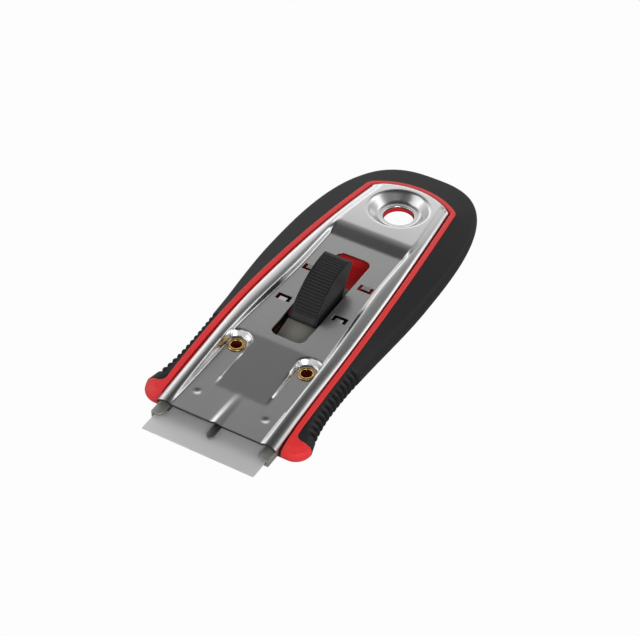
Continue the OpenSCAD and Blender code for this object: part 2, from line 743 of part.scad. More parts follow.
module carrier_rivet_front() {
    rivet(stem_rivets()[0], carrier_top + strip_t);
}

module carrier_rivet_rear() {
    rivet(stem_rivets()[1], carrier_top + strip_t);
}

// Bent strip from its root on the stem up to the lock plate
module leaf_spring() {
    bend = stem_rear + spring_rise_l;
    tip = bend + spring_tip_l;
    root = stem_rear - root_l;
    side = [[root, carrier_top], [stem_rear, carrier_top], [bend, lock_z - strip_t], [tip, lock_z - strip_t],
        [tip, lock_z], [bend, lock_z], [stem_rear, carrier_top + strip_t], [root, carrier_top + strip_t]];
    color([0.42, 0.41, 0.38]) seat() difference() {
        translate([-stem_w / 2, 0, 0]) rotate([90, 0, 90]) linear_extrude(height = stem_w) polygon(side);
        for (y = stem_rivets()) translate([0, y, carrier_z])
            cylinder(h = lock_z, r = rivet_r + pin_gap, $fn = 32);
        post_holes();
    }
}

module post_holes() {
    for (y = [post_front, post_rear]) translate([0, y, floor_t])
        cylinder(h = lock_z, r = post_r + pin_gap, $fn = 32);
}

module lock_plate() {
    color([0.55, 0.55, 0.53]) seat() difference() {
        translate([0, (lock_front + lock_rear) / 2, lock_z]) linear_extrude(height = lock_t)
            rounded_rect(2 * lock_half, lock_rear - lock_front, lock_corner_r);
        post_holes();
    }
}

// Button: a wedge that rises to the rear and overhangs there, with fine ribs across its top
module thumb_button() {
    base_z = lock_z + lock_t;
    color([0.15, 0.15, 0.16]) seat() union() {
        difference() {
            intersection() {
                translate([-button_w / 2, 0, 0]) rotate([90, 0, 90]) linear_extrude(height = button_w)
                    polygon(button_side(base_z));
                translate([0, handle_rear, 0]) rotate([90, 0, 0]) linear_extrude(height = handle_rear)
                    polygon(button_end(base_z));
            }
            button_grooves();
        }
        for (y = [post_front, post_rear]) translate([0, y, lock_z - strip_t - post_head_h]) {
            cylinder(h = base_z - lock_z + strip_t + post_head_h + post_root, r = post_r, $fn = 32);
            cylinder(h = post_head_h, r = post_head_r, $fn = 32);
        }
    }
}

// The top follows an arc from the nose to the high rear corner
button_chord = [button_top_rear - button_corner_r - button_nose_y, button_z - button_nose_z];
button_bulge = 2.6;
function button_top(t) = [button_nose_y, button_nose_z] + t * button_chord
    + 4 * button_bulge * t * (1 - t) * [-button_chord.y, button_chord.x] / norm(button_chord);
function button_side(base_z) = concat([[button_front, base_z], [button_front, base_z + button_skirt]],
    [for (k = [0 : button_arc_steps]) button_top(k / button_arc_steps)],
    [for (a = [0, 30, 60, 90]) turn([button_top_rear - button_corner_r, button_z - button_corner_r],
        button_corner_r, a)],
    [[button_rear, base_z + button_skirt], [button_rear, base_z]]);
button_skirt = 1.2;
function button_end(base_z) = let (h = button_z - base_z) mirrored_across([for (k = [0 : button_arc_steps])
    let (t = k / button_arc_steps)
        [mix(button_w, button_top_w, t) / 2 - 4 * button_waist * t * (1 - t), base_z + (h + over) * t]]);
function mirrored_across(side) = concat(side, [for (i = [len(side) - 1 : -1 : 0]) [-side[i].x, side[i].y]]);

module button_grooves() {
    run = norm(button_chord);
    count = floor((run - 2 * button_frame) / button_rib_pitch);
    w = button_top_w - 2 * button_frame;
    for (k = [0 : count]) let (p = button_top((button_frame + k * button_rib_pitch) / run))
        translate([-w / 2, p.x, p.y + button_rib_pitch / 2 - button_rib_depth]) rotate([0, 90, 0])
            cylinder(h = w, r = button_rib_pitch / 2 - pin_gap, $fn = 16);
}

module blade() {
    mid = blade_z + blade_t / 2;
    side = [[-blade_reach, mid], [bevel_w - blade_reach, blade_z], [blade_back - thin_gap, blade_z],
        [blade_back - thin_gap, blade_z + blade_t], [bevel_w - blade_reach, blade_z + blade_t]];
    color([0.78, 0.79, 0.8]) seat() difference() {
        translate([-blade_l / 2, 0, 0]) rotate([90, 0, 90]) linear_extrude(height = blade_l) polygon(side);
        for (flip = [0, 1]) mirror([flip, 0, 0]) translate([blade_l / 2 - notch, notch_y, blade_z - over])
            cube([notch + over, notch, blade_t + 2 * over]);
    }
}

// Strip folded over the back of the blade
module blade_spine() {
    fold_t = (spine_t - blade_t) / 2;
    front = blade_back - spine_w;
    color([0.62, 0.63, 0.64]) seat() difference() {
        translate([-blade_l / 2, front, spine_z]) cube([blade_l, spine_w, spine_t]);
        translate([-blade_l / 2 - over, front - over, spine_z + fold_t])
            cube([blade_l + 2 * over, spine_w + over - thin_gap, blade_t]);
    }
}

handle_core();
grip();
face_plate();
eyelet_left();
eyelet_right();
blade_carrier();
blade_clip();
clip_rivet();
leaf_spring();
carrier_rivet_front();
carrier_rivet_rear();
lock_plate();
thumb_button();
blade();
blade_spine();
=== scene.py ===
import math
import bmesh
import bpy
import numpy as np
from contextlib import contextmanager
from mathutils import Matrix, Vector


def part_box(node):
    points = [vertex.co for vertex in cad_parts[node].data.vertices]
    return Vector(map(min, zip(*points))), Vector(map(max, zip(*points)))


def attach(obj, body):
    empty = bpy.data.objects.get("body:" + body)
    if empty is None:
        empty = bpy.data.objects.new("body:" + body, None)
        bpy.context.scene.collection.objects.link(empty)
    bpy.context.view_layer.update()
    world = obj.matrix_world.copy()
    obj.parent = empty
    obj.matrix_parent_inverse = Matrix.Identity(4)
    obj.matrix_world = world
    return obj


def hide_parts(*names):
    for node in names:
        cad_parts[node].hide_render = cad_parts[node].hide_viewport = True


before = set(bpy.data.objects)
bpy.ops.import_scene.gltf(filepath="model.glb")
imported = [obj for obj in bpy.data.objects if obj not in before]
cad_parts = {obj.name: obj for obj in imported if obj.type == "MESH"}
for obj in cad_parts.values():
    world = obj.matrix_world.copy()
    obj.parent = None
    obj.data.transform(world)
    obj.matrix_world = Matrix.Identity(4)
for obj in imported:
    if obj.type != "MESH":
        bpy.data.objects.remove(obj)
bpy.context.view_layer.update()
print("stage: frame loaded")

# Shapes are worked out in millimetres with y = 0 at the face plate's front edge, then placed in the frame
mm = 0.001
weldGap = 0.05  # overlap of two forms that are joined
quarter = math.pi / 2
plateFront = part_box("face_plate")[0].y


# Highest coordinate of a CAD node along an axis, in these millimetres
def reach(node, axis):
    return (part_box(node)[1][axis] - (plateFront if axis == 1 else 0)) / mm


handle = dict(half=reach("handle_core", 0), rear=reach("grip", 1), front=1.6, cornerR=5.5, waistInset=2.75,
              bellyInset=0.2, waistY=28.0, bellyY=76.0, flarePower=2.5, rearPower=2.8, edgeRound=4.3,
              crownZ=10.0, crownY=58.0, crownFrontR=411.0, crownRearR=640.0, lipRise=0.35, sideShare=0.53,
              splitY=7.0, splitR=2.0)
lip = dict(half=22.8, narrowing=5.9, straightY=28.0, rear=reach("handle_core", 1), headL=11.8, power=1.85,
           arcR=24.3, cornerR=3.8, thick=1.75, shelfZ=5.35, bead=0.3, beadL=5.2, beadGap=0.012, beadFront=6.5,
           beadSink=0.6, sinkL=4.5)
ribs = dict(first=11.5, pitch=2.17, count=13, depth=1.9, wavePower=1.5, fade=16.0, inset=1.2, zoneInset=1.4,
            share=0.6, zoneShare=0.3)


def smooth(t):
    s = np.clip(t, 0, 1)
    return s * s * (3 - 2 * s)


def mix(a, b, t):
    return a + (b - a) * t


def crown(y):
    radius = np.where(y < handle["crownY"], handle["crownFrontR"], handle["crownRearR"])
    return handle["crownZ"] - (y - handle["crownY"]) ** 2 / (2 * radius)


def lipHalf(y):
    t = np.maximum(y - lip["straightY"], 0) / (lip["rear"] - lip["headL"] - lip["straightY"])
    return lip["half"] - lip["narrowing"] * t ** lip["power"]


arcY = lip["rear"] - lip["arcR"]
innerR = lip["arcR"] - lip["cornerR"]


def filletY(x):
    return arcY + math.sqrt(innerR ** 2 - x * x)


cornerX = float(lipHalf(filletY(lip["half"] - lip["narrowing"] - lip["cornerR"]))) - lip["cornerR"]
cornerY = filletY(cornerX)
cornerA = math.asin(cornerX / innerR)


def around(centre, radius, angles):
    return np.stack([centre[0] + radius * np.sin(angles), centre[1] + radius * np.cos(angles)], -1)


def cornerPoints(d, angles):
    return around((cornerX, cornerY), lip["cornerR"] - d, angles)


def arcPoints(d, angles):
    return around((0, arcY), lip["arcR"] - d, angles)


def gripHalf(y):
    waist, belly = handle["half"] - handle["waistInset"], handle["half"] - handle["bellyInset"]
    flare = np.clip((handle["waistY"] - y) / (handle["waistY"] - handle["front"] - handle["cornerR"]), 0, 1)
    rear = np.clip((y - handle["bellyY"]) / (handle["rear"] - handle["bellyY"]), 0, 1)
    side = np.where(y < handle["waistY"], waist + (handle["half"] - waist) * flare ** handle["flarePower"],
                    mix(waist, belly, smooth((y - handle["waistY"]) / (handle["bellyY"] - handle["waistY"]))))
    rounded = belly * (1 - rear ** handle["rearPower"]) ** (1 / handle["rearPower"])
    return np.where(y > handle["bellyY"], rounded, side)


def ribZone(y):
    last = ribs["first"] + (ribs["count"] - 1) * ribs["pitch"]
    return 1 - smooth((y - last) / ribs["fade"])


def sideZ(y):
    return handle["sideShare"] * (crown(y) - handle["lipRise"])


def shoulderZ(y):
    return mix(sideZ(y), crown(y) - handle["lipRise"], ribs["share"] + ribs["zoneShare"] * ribZone(y))


def shoulderIn(y):
    return ribs["inset"] + ribs["zoneInset"] * ribZone(y)


def grooveDepth(y):
    last = ribs["first"] + (ribs["count"] - 0.5) * ribs["pitch"]
    inside = (y > ribs["first"] - 0.5 * ribs["pitch"]) & (y < last)
    wave = 1 - np.abs(np.sin(math.pi * (y - ribs["first"]) / ribs["pitch"])) ** ribs["wavePower"]
    return np.where(inside, ribs["depth"] * wave, 0)


# Mesh building
def inScene(name, data):
    obj = bpy.data.objects.new(name, data)
    bpy.context.scene.collection.objects.link(obj)
    return obj


def makeObject(name, points, faces):
    places = np.asarray(points, float) * mm + np.array([0, plateFront, 0])
    mesh = bpy.data.meshes.new(name)
    mesh.from_pydata(places.tolist(), [], faces)
    mesh.validate()
    return inScene(name, mesh)


@contextmanager
def editing(obj):
    bm = bmesh.new()
    bm.from_mesh(obj.data)
    yield bm
    bm.to_mesh(obj.data)
    bm.free()


def faceOutward(obj):
    with editing(obj) as bm:
        bmesh.ops.recalc_face_normals(bm, faces=bm.faces)


# Quads between successive rows of count points each
def loopFaces(rows, count, closed=True, wrap=False):
    faces = []
    for j in range(rows if wrap else rows - 1):
        a, b = j * count, ((j + 1) % rows) * count
        for i in range(count if closed else count - 1):
            k = (i + 1) % count
            faces.append((a + i, a + k, b + k, b + i))
    return faces


# Closed sections joined in a row, with both ends capped
def sweep(name, sections):
    rows, count = sections.shape[:2]
    ends = [tuple(range(count)), tuple(range((rows - 1) * count, rows * count))]
    obj = makeObject(name, sections.reshape(-1, 3), loopFaces(rows, count) + ends)
    faceOutward(obj)
    return obj


# Outline carried between two places on the axis that it leaves out
def prism(name, outline, low, high, axis=2):
    n = len(outline)
    points = [np.insert(point, axis, place) for place in (low, high) for point in outline]
    obj = makeObject(name, points, loopFaces(2, n) + [tuple(range(n))[::-1], tuple(range(n, 2 * n))])
    faceOutward(obj)
    return obj


# Closed profile of (radius, z) turned about the upright axis at centre
def revolve(name, profile, centre, steps):
    turns = np.linspace(0, 2 * math.pi, steps, endpoint=False)
    points = [(centre[0] + r * math.cos(a), centre[1] + r * math.sin(a), z) for a in turns for r, z in profile]
    obj = makeObject(name, points, loopFaces(steps, len(profile), wrap=True))
    with editing(obj) as bm:
        bmesh.ops.remove_doubles(bm, verts=bm.verts, dist=1e-7)
    faceOutward(obj)
    return obj


def applied(obj):
    graph = bpy.context.evaluated_depsgraph_get()
    mesh = bpy.data.meshes.new_from_object(obj.evaluated_get(graph), depsgraph=graph)
    obj.modifiers.clear()
    obj.data = mesh
    return obj


def combine(obj, other, operation):
    step = obj.modifiers.new("combine", "BOOLEAN")
    step.operation = operation
    step.object = other
    step.solver = "EXACT"
    applied(obj)
    bpy.data.objects.remove(other)
    return obj


def joined(name, objects):
    bm = bmesh.new()
    for obj in objects:
        bm.from_mesh(obj.data)
        bpy.data.objects.remove(obj)
    mesh = bpy.data.meshes.new(name)
    bm.to_mesh(mesh)
    bm.free()
    return inScene(name, mesh)


def softened(obj, width, segments, angle):
    step = obj.modifiers.new("soften", "BEVEL")
    step.width = width * mm
    step.segments = segments
    step.limit_method = "ANGLE"
    step.angle_limit = math.radians(angle)
    return applied(obj)


def shaded(obj, angle=32):
    obj.data.shade_smooth()
    obj.data.set_sharp_from_angle(angle=math.radians(angle))
    return obj


def dress(obj, node, body, look):
    obj.data.materials.clear()
    obj.data.materials.append(materials[look])
    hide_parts(node)
    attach(obj, body)


# Materials
def addNode(tree, kind, inputs=(), **settings):
    node = tree.nodes.new(kind)
    for key, value in settings.items():
        setattr(node, key, value)
    for key, value in inputs:
        node.inputs[key].default_value = value
    return node


# Links, each from a node's output to a node's input
def wire(tree, *links):
    for source, output, target, entry in links:
        tree.links.new(source.outputs[output], target.inputs[entry])


def mathNode(tree, operation, inputs=(), **settings):
    return addNode(tree, "ShaderNodeMath", inputs, operation=operation, **settings)


def emptyTree(owner):
    owner.use_nodes = True
    owner.node_tree.nodes.clear()
    return owner.node_tree


def shaderGroup(name, inputs, output):
    group = bpy.data.node_groups.new(name, "ShaderNodeTree")
    for label, value in inputs:
        socket = group.interface.new_socket(label, in_out="INPUT", socket_type="NodeSocketFloat")
        socket.default_value = value
    group.interface.new_socket(output, in_out="OUTPUT", socket_type="NodeSocketFloat")
    return group, addNode(group, "NodeGroupInput"), addNode(group, "NodeGroupOutput")


def grainGroup():
    group, start, end = shaderGroup("fineGrain", [("Scale", 1500.0), ("Detail", 3.0)], "Height")
    place = addNode(group, "ShaderNodeTexCoord")
    noise = addNode(group, "ShaderNodeTexNoise", [("Roughness", 0.55)])
    wire(group, (place, "Object", noise, "Vector"), (start, "Scale", noise, "Scale"),
         (start, "Detail", noise, "Detail"), (noise, "Fac", end, "Height"))
    return group


def brushGroup():
    group, start, end = shaderGroup("brushedLines", [("Across", 5000.0), ("Along", 60.0)], "Height")
    place = addNode(group, "ShaderNodeTexCoord")
    stretch = addNode(group, "ShaderNodeCombineXYZ")
    scaled = addNode(group, "ShaderNodeVectorMath", operation="MULTIPLY")
    noise = addNode(group, "ShaderNodeTexNoise", [("Scale", 1.0), ("Detail", 2.0), ("Roughness", 0.6)])
    for axis, source in (("X", "Across"), ("Y", "Along"), ("Z", "Along")):
        wire(group, (start, source, stretch, axis))
    wire(group, (place, "Object", scaled, 0), (stretch, 0, scaled, 1), (scaled, 0, noise, "Vector"),
         (noise, "Fac", end, "Height"))
    return group


# Share of rounding at a point: 0 on flats, rising to 1 on sharp edges, where the materials paint a highlight
def edgeGroup():
    group, start, end = shaderGroup("edgeHighlight", [("Radius", 0.0003), ("Gain", 6.0)], "Edge")
    rounded = addNode(group, "ShaderNodeBevel", samples=4)
    plain = addNode(group, "ShaderNodeNewGeometry")
    dot = addNode(group, "ShaderNodeVectorMath", operation="DOT_PRODUCT")
    turned = mathNode(group, "SUBTRACT", [(0, 1.0)])
    gained = mathNode(group, "MULTIPLY", use_clamp=True)
    wire(group, (start, "Radius", rounded, "Radius"), (rounded, "Normal", dot, 0),
         (plain, "True Normal", dot, 1), (dot, "Value", turned, 1), (turned, 0, gained, 0),
         (start, "Gain", gained, 1), (gained, 0, end, "Edge"))
    return group


# 1 inside a box about x = 0, falling to 0 over the Soft distance at its limits
def boxGroup():
    limits = [("Half", 1.0), ("Front", -1.0), ("Rear", 1.0), ("Top", 1.0)]
    group, start, end = shaderGroup("insideBox", limits + [("Soft", 0.0005)], "Mask")
    place = addNode(group, "ShaderNodeTexCoord")
    split = addNode(group, "ShaderNodeSeparateXYZ")
    across = mathNode(group, "ABSOLUTE")
    wire(group, (place, "Object", split, 0), (split, "X", across, 0))
    mask = None
    for upper, lower in (((start, "Half"), (across, 0)), ((split, "Y"), (start, "Front")),
                         ((start, "Rear"), (split, "Y")), ((start, "Top"), (split, "Z"))):
        room = mathNode(group, "SUBTRACT")
        share = mathNode(group, "DIVIDE", use_clamp=True)
        wire(group, (*upper, room, 0), (*lower, room, 1), (room, 0, share, 0), (start, "Soft", share, 1))
        if mask is not None:
            both = mathNode(group, "MULTIPLY")
            wire(group, (mask, 0, both, 0), (share, 0, both, 1))
            share = both
        mask = share
    wire(group, (mask, 0, end, "Mask"))
    return group


groups = dict(grain=grainGroup(), brush=brushGroup(), edge=edgeGroup(), box=boxGroup())
farOff = 199.0
broadScale, tintRange = 60.0, (0.2, 1.1)
edgeR, edgeGain, bumpStrength = 0.25, 3.0, 0.2


# Shared group placed in a material with its own values
def groupNode(tree, key, **values):
    node = addNode(tree, "ShaderNodeGroup", node_tree=groups[key])
    for label, value in values.items():
        node.inputs[label].default_value = value
    return node


def mixNode(tree, **colors):
    node = addNode(tree, "ShaderNodeMix", data_type="RGBA")
    for label, color in colors.items():
        node.inputs[label].default_value = (*color, 1)
    return node


# Height of a group's texture brought into a range
def ranged(tree, texture, low, high):
    node = addNode(tree, "ShaderNodeMapRange", [("To Min", low), ("To Max", high)])
    wire(tree, (texture, "Height", node, "Value"))
    return node


# Colour painted within the box that the look's shade gives in millimetres: painted shade on parts that sit in
# shade, painted light on the button's top and a painted red reflection in the eyelet bores
def shadedColor(tree, source, shade):
    if not shade:
        return source
    mask = groupNode(tree, "box", Half=shade.get("half", farOff) * mm, Top=shade.get("top", farOff) * mm,
                     Front=plateFront - farOff * mm, Rear=plateFront + shade.get("rear", farOff) * mm,
                     Soft=shade["soft"] * mm)
    blend = mixNode(tree, B=shade["color"])
    wire(tree, (mask, "Mask", blend, "Factor"), (source, "Result", blend, "A"))
    return blend


# Principled material with grain in its roughness and bump, a painted highlight on its edges and, for metal,
# brushed lines
def finishMaterial(name, look):
    material = bpy.data.materials.new(name)
    tree = emptyTree(material)
    out = addNode(tree, "ShaderNodeOutputMaterial")
    shader = addNode(tree, "ShaderNodeBsdfPrincipled", [("Metallic", look.get("metal", 0.0)),
                                                        ("Specular IOR Level", look.get("specular", 0.5))])
    wire(tree, (shader, 0, out, "Surface"))
    if "across" in look:
        texture = groupNode(tree, "brush", Across=look["across"], Along=look["along"])
    else:
        texture = groupNode(tree, "grain", Scale=look["scale"])
    broad = groupNode(tree, "grain", Scale=broadScale)
    radius = look.get("edgeR", edgeR) * mm
    edge = groupNode(tree, "edge", Radius=radius, Gain=look.get("edgeGain", edgeGain))

    tint = mixNode(tree, A=look["dark"], B=look["color"])
    wire(tree, (ranged(tree, broad, *tintRange), "Result", tint, "Factor"))
    # painted highlight: edges turned to the lighter edgeColor
    edgeLit = mixNode(tree, B=look["edgeColor"])
    wire(tree, (edge, "Edge", edgeLit, "Factor"), (tint, "Result", edgeLit, "A"))
    wire(tree, (shadedColor(tree, edgeLit, look.get("shade")), "Result", shader, "Base Color"))

    rounded = addNode(tree, "ShaderNodeBevel", [("Radius", radius)], samples=6)
    bump = addNode(tree, "ShaderNodeBump", [("Strength", look.get("bump", bumpStrength)),
                                            ("Distance", look["depth"] * mm)])
    wire(tree, (ranged(tree, texture, *look["rough"]), "Result", shader, "Roughness"),
         (texture, "Height", bump, "Height"), (rounded, "Normal", bump, "Normal"),
         (bump, "Normal", shader, "Normal"))
    return material


looks = dict(
    redPlastic=dict(color=(0.82, 0.036, 0.038), dark=(0.77, 0.032, 0.034), edgeColor=(0.85, 0.06, 0.06),
                    specular=0.4, rough=(0.36, 0.46), scale=2500.0, depth=0.02, bump=0.12,
                    # painted shade: the core turned near black inside the slots, under the window and low in
                    # the body
                    shade=dict(color=(0.02, 0.003, 0.003), half=21.1, rear=55.0, top=5.5, soft=0.1)),
    gripRubber=dict(color=(0.012, 0.012, 0.0125), dark=(0.0095, 0.0095, 0.01), edgeColor=(0.02, 0.02, 0.021),
                    specular=0.3, rough=(0.5, 0.62), scale=3200.0, depth=0.03, bump=0.25),
    plateSteel=dict(color=(0.66, 0.66, 0.66), dark=(0.6, 0.6, 0.6), edgeColor=(0.8, 0.8, 0.8), metal=1.0,
                    rough=(0.2, 0.28), across=4200.0, along=90.0, depth=0.006, bump=0.08, edgeR=0.15,
                    # painted shade: the sheet's cut front edge turned dark
                    edgeGain=1.5, shade=dict(color=(0.09, 0.09, 0.09), rear=0.12, soft=0.06)),
    brass=dict(color=(0.72, 0.5, 0.2), dark=(0.6, 0.4, 0.15), edgeColor=(0.85, 0.66, 0.32), metal=1.0,
               rough=(0.22, 0.32), scale=2000.0, depth=0.004, bump=0.05, edgeR=0.08,
               # painted reflection: the bores below the rims turned red-brown for the red core
               shade=dict(color=(0.95, 0.33, 0.2), top=6.2, soft=0.3)),
    carrierSteel=dict(color=(0.5, 0.49, 0.45), dark=(0.44, 0.43, 0.4), edgeColor=(0.56, 0.55, 0.52), metal=0.6,
                      rough=(0.3, 0.42), across=3600.0, along=200.0, depth=0.01, bump=0.15, edgeR=0.15,
                      # painted shade: the carriage darker in front of y = 33 mm, where it sits under the
                      # plate's ridges
                      shade=dict(color=(0.36, 0.37, 0.34), rear=33.0, soft=1.0)),
    leafSteel=dict(color=(0.4, 0.385, 0.345), dark=(0.36, 0.345, 0.31), edgeColor=(0.5, 0.48, 0.43), metal=0.3,
                   rough=(0.34, 0.46), across=3000.0, along=150.0, depth=0.01, bump=0.15, edgeR=0.12),
    # painted shade: the lock plate given a near-black colour for the shade it sits in under the plate
    lockSteel=dict(color=(0.09, 0.085, 0.08), dark=(0.06, 0.06, 0.055), edgeColor=(0.2, 0.19, 0.18), metal=1.0,
                   rough=(0.4, 0.5), across=3600.0, along=200.0, depth=0.01, bump=0.15, edgeR=0.15),
    springSteel=dict(color=(0.22, 0.215, 0.2), dark=(0.18, 0.175, 0.16), edgeColor=(0.48, 0.46, 0.43),
                     metal=1.0, rough=(0.34, 0.46), across=3000.0, along=150.0, depth=0.01, bump=0.15,
                     edgeR=0.12),
    buttonPlastic=dict(color=(0.008, 0.008, 0.008), dark=(0.006, 0.006, 0.0065), edgeColor=(0.09, 0.09, 0.09),
                       specular=0.2, rough=(0.4, 0.5), edgeGain=3.5, scale=3000.0, depth=0.02, bump=0.2,
                       # painted light: the top between the borders lighter than the dark sides
                       shade=dict(color=(0.03, 0.03, 0.03), half=4.1, soft=0.25)),
    bladeSteel=dict(color=(0.7, 0.7, 0.7), dark=(0.67, 0.67, 0.67), edgeColor=(0.7, 0.7, 0.7), metal=0.4,
                    rough=(0.46, 0.54), across=2600.0, along=2600.0, depth=0.003, bump=0.06, edgeR=0.06),
    spineSteel=dict(color=(0.45, 0.455, 0.46), dark=(0.38, 0.385, 0.39), edgeColor=(0.66, 0.66, 0.66),
                    metal=1.0, rough=(0.3, 0.4), across=60.0, along=3600.0, depth=0.006, bump=0.12, edgeR=0.1),
)
materials = {name: finishMaterial(name, look) for name, look in looks.items()}
print("stage: materials made")

# Face plate: a pressed sheet with a ramp, two ridges, pockets, a slope, a dished hole and a rolled rim
plate = dict(edge=2.25, rim=1.3, rimDrop=(1.4, 1.0), rimStart=(46.0, 23.0), rimTurn=(22.0, 30.0),
             flank=(0.45, 0.22), crestShare=0.25, sheet=0.7, panelZ=6.65, rearZ=8.65, rampFront=13.5,
             rampRear=36.0, slopeFront=87.9, slopeRear=92.8, crease=(0.5, 1.5), creaseTurn=(1.0, 3.0),
             headRise=0.9, headSink=0.3, frontRise=1.3, midRise=0.4, innerDrop=(0.3, -0.2), inner=16.2,
             innerRear=13.8, straightY=32.0, taper=44.0, footGap=2.7, footIn=0.9, footOut=0.1, rampHalf=8.6,
             pocketR=3.7, pocketIn=0.3, wallFront=0.1, wallRise=0.26, wallRear=1.7, wallTurn=3.0,
             eyeletX=12.28, eyeletY=30.9, eyeletHole=2.1, ribHalf=1.8, ribH=0.52, ribL=14.5, ribPower=1.6,
             dimpleX=11.75, dimpleY=8.6, dimpleR=1.5, dimpleDepth=0.22, hangY=109.1, hangR=4.95, hemR=5.4,
             hemL=0.7, hemT=0.3, ringR=6.8, dishR=10.0, dishRound=0.14, ringZ=5.8, ringTilt=0.073,
             window=(11.9, 39.0, 81.65, 2.5), tabX=(7.43, 12.33), tabY=(55.25, 69.34), tabL=1.6, slot=1.15,
             tabAngle=3.0, bowPower=1.5, cut=(4.0, 12.0))


def plateEdge(y):
    return lipHalf(np.minimum(y, cornerY)) - plate["edge"]


def footX(y):
    inner = mix(plate["inner"], plate["innerRear"], smooth((y - plate["straightY"]) / plate["taper"]))
    return np.minimum(plateEdge(y) - plate["footGap"], inner)


# Share of the way from one named place along the tool to another
def between(y, first, last):
    return np.clip((y - plate[first]) / (plate[last] - plate[first]), 0, 1)


def panelHeight(y):
    ramp = mix(plate["panelZ"], plate["rearZ"], between(y, "rampFront", "rampRear"))
    slope = mix(plate["rearZ"], crown(y) + plate["headRise"], between(y, "slopeFront", "slopeRear"))
    return np.where(y < plate["slopeFront"], ramp, slope)


# The panel's height with its creases rounded, more widely at the top of the slope
def softPanel(y):
    past, turn = plate["creaseTurn"]
    width = mix(*plate["crease"], smooth((y - plate["slopeFront"] - past) / turn))
    shifts = np.linspace(-1, 1, 11)
    return sum(panelHeight(y + s * width) for s in shifts) / len(shifts)


def crestHeight(y):
    front = np.clip((handle["crownY"] - y) / handle["crownY"], 0, 1) ** 2
    behind = smooth((y - handle["crownY"]) / (plate["slopeRear"] - handle["crownY"]))
    rise = np.where(y < handle["crownY"], plate["midRise"] + (plate["frontRise"] - plate["midRise"]) * front,
                    mix(plate["midRise"], plate["headRise"] - plate["headSink"], behind))
    return crown(y) + rise


def pocketDistance(x, y):
    side = plate["rampHalf"] - x
    end = np.hypot(x - plate["eyeletX"], y - plate["eyeletY"]) - plate["pocketR"]
    return np.where(y < plate["eyeletY"], side, end)


def tabDrop(x, y):
    half = plate["slot"] / 2
    across = (x > plate["tabX"][0] + half) & (x < plate["tabX"][1] - half)
    drop = np.zeros_like(x)
    for free, way in zip(plate["tabY"], (1, -1)):
        along = (y - free) * way + plate["tabL"] + half
        drop += np.where(across & (along > 0) & (along < plate["tabL"] + half), along, 0)
    return drop * math.tan(math.radians(plate["tabAngle"]))


# Value that goes from its front to its rear setting along the ridges
def alongRim(pair, y):
    start, turn = plate["rimTurn"]
    return mix(*pair, smooth((y - start) / turn))


# The ring at the bottom of the dish leans back with the head of the plate
def ringHeight(y):
    return plate["ringZ"] - plate["ringTilt"] * (y - plate["hangY"])


# Share of the way up the dish's straight wall, rounded at both ends
def dishShare(t):
    shifts = np.linspace(-plate["dishRound"], plate["dishRound"], 7)
    return sum(np.clip(t + s, 0, 1) for s in shifts) / len(shifts)


def plateHeight(x, y):
    x = np.abs(x)
    outer, foot, crest = plateEdge(y), footX(y), crestHeight(y)
    panel = softPanel(y)
    wall = plate["wallFront"] + plate["wallRise"] * (panel - plate["panelZ"])
    wall = mix(wall, plate["wallRear"], smooth((y - plate["eyeletY"]) / plate["wallTurn"]))
    panel = mix(plate["panelZ"], panel, smooth((pocketDistance(x, y) + plate["pocketIn"]) / wall))
    drop = mix(*plate["innerDrop"], smooth(between(y, "slopeFront", "slopeRear")))
    crestX = mix(foot, outer, plate["crestShare"])
    past = np.clip(x - crestX, 0, None)
    ridge = crest - drop * (1 - np.clip((x - foot) / (crestX - foot), 0, 1)) ** 2
    ridge = ridge - alongRim(plate["flank"], y) * past ** 2 / (2 * (outer - plate["rim"] - crestX))
    z = mix(panel, ridge, smooth((x - foot + plate["footIn"]) / (plate["footIn"] + plate["footOut"])))
    ribShape = np.cos(quarter * np.clip(x / plate["ribHalf"], 0, 1)) ** plate["ribPower"]
    z = z + plate["ribH"] * np.clip(1 - y / plate["ribL"], 0, 1) * ribShape
    dent = np.hypot(x - plate["dimpleX"], y - plate["dimpleY"]) / plate["dimpleR"]
    z = z - plate["dimpleDepth"] * smooth(1 - dent)
    radius = np.hypot(x, y - plate["hangY"])
    z = mix(ringHeight(y), z, dishShare((radius - plate["ringR"]) / (plate["dishR"] - plate["ringR"])))
    return z - tabDrop(x, y)


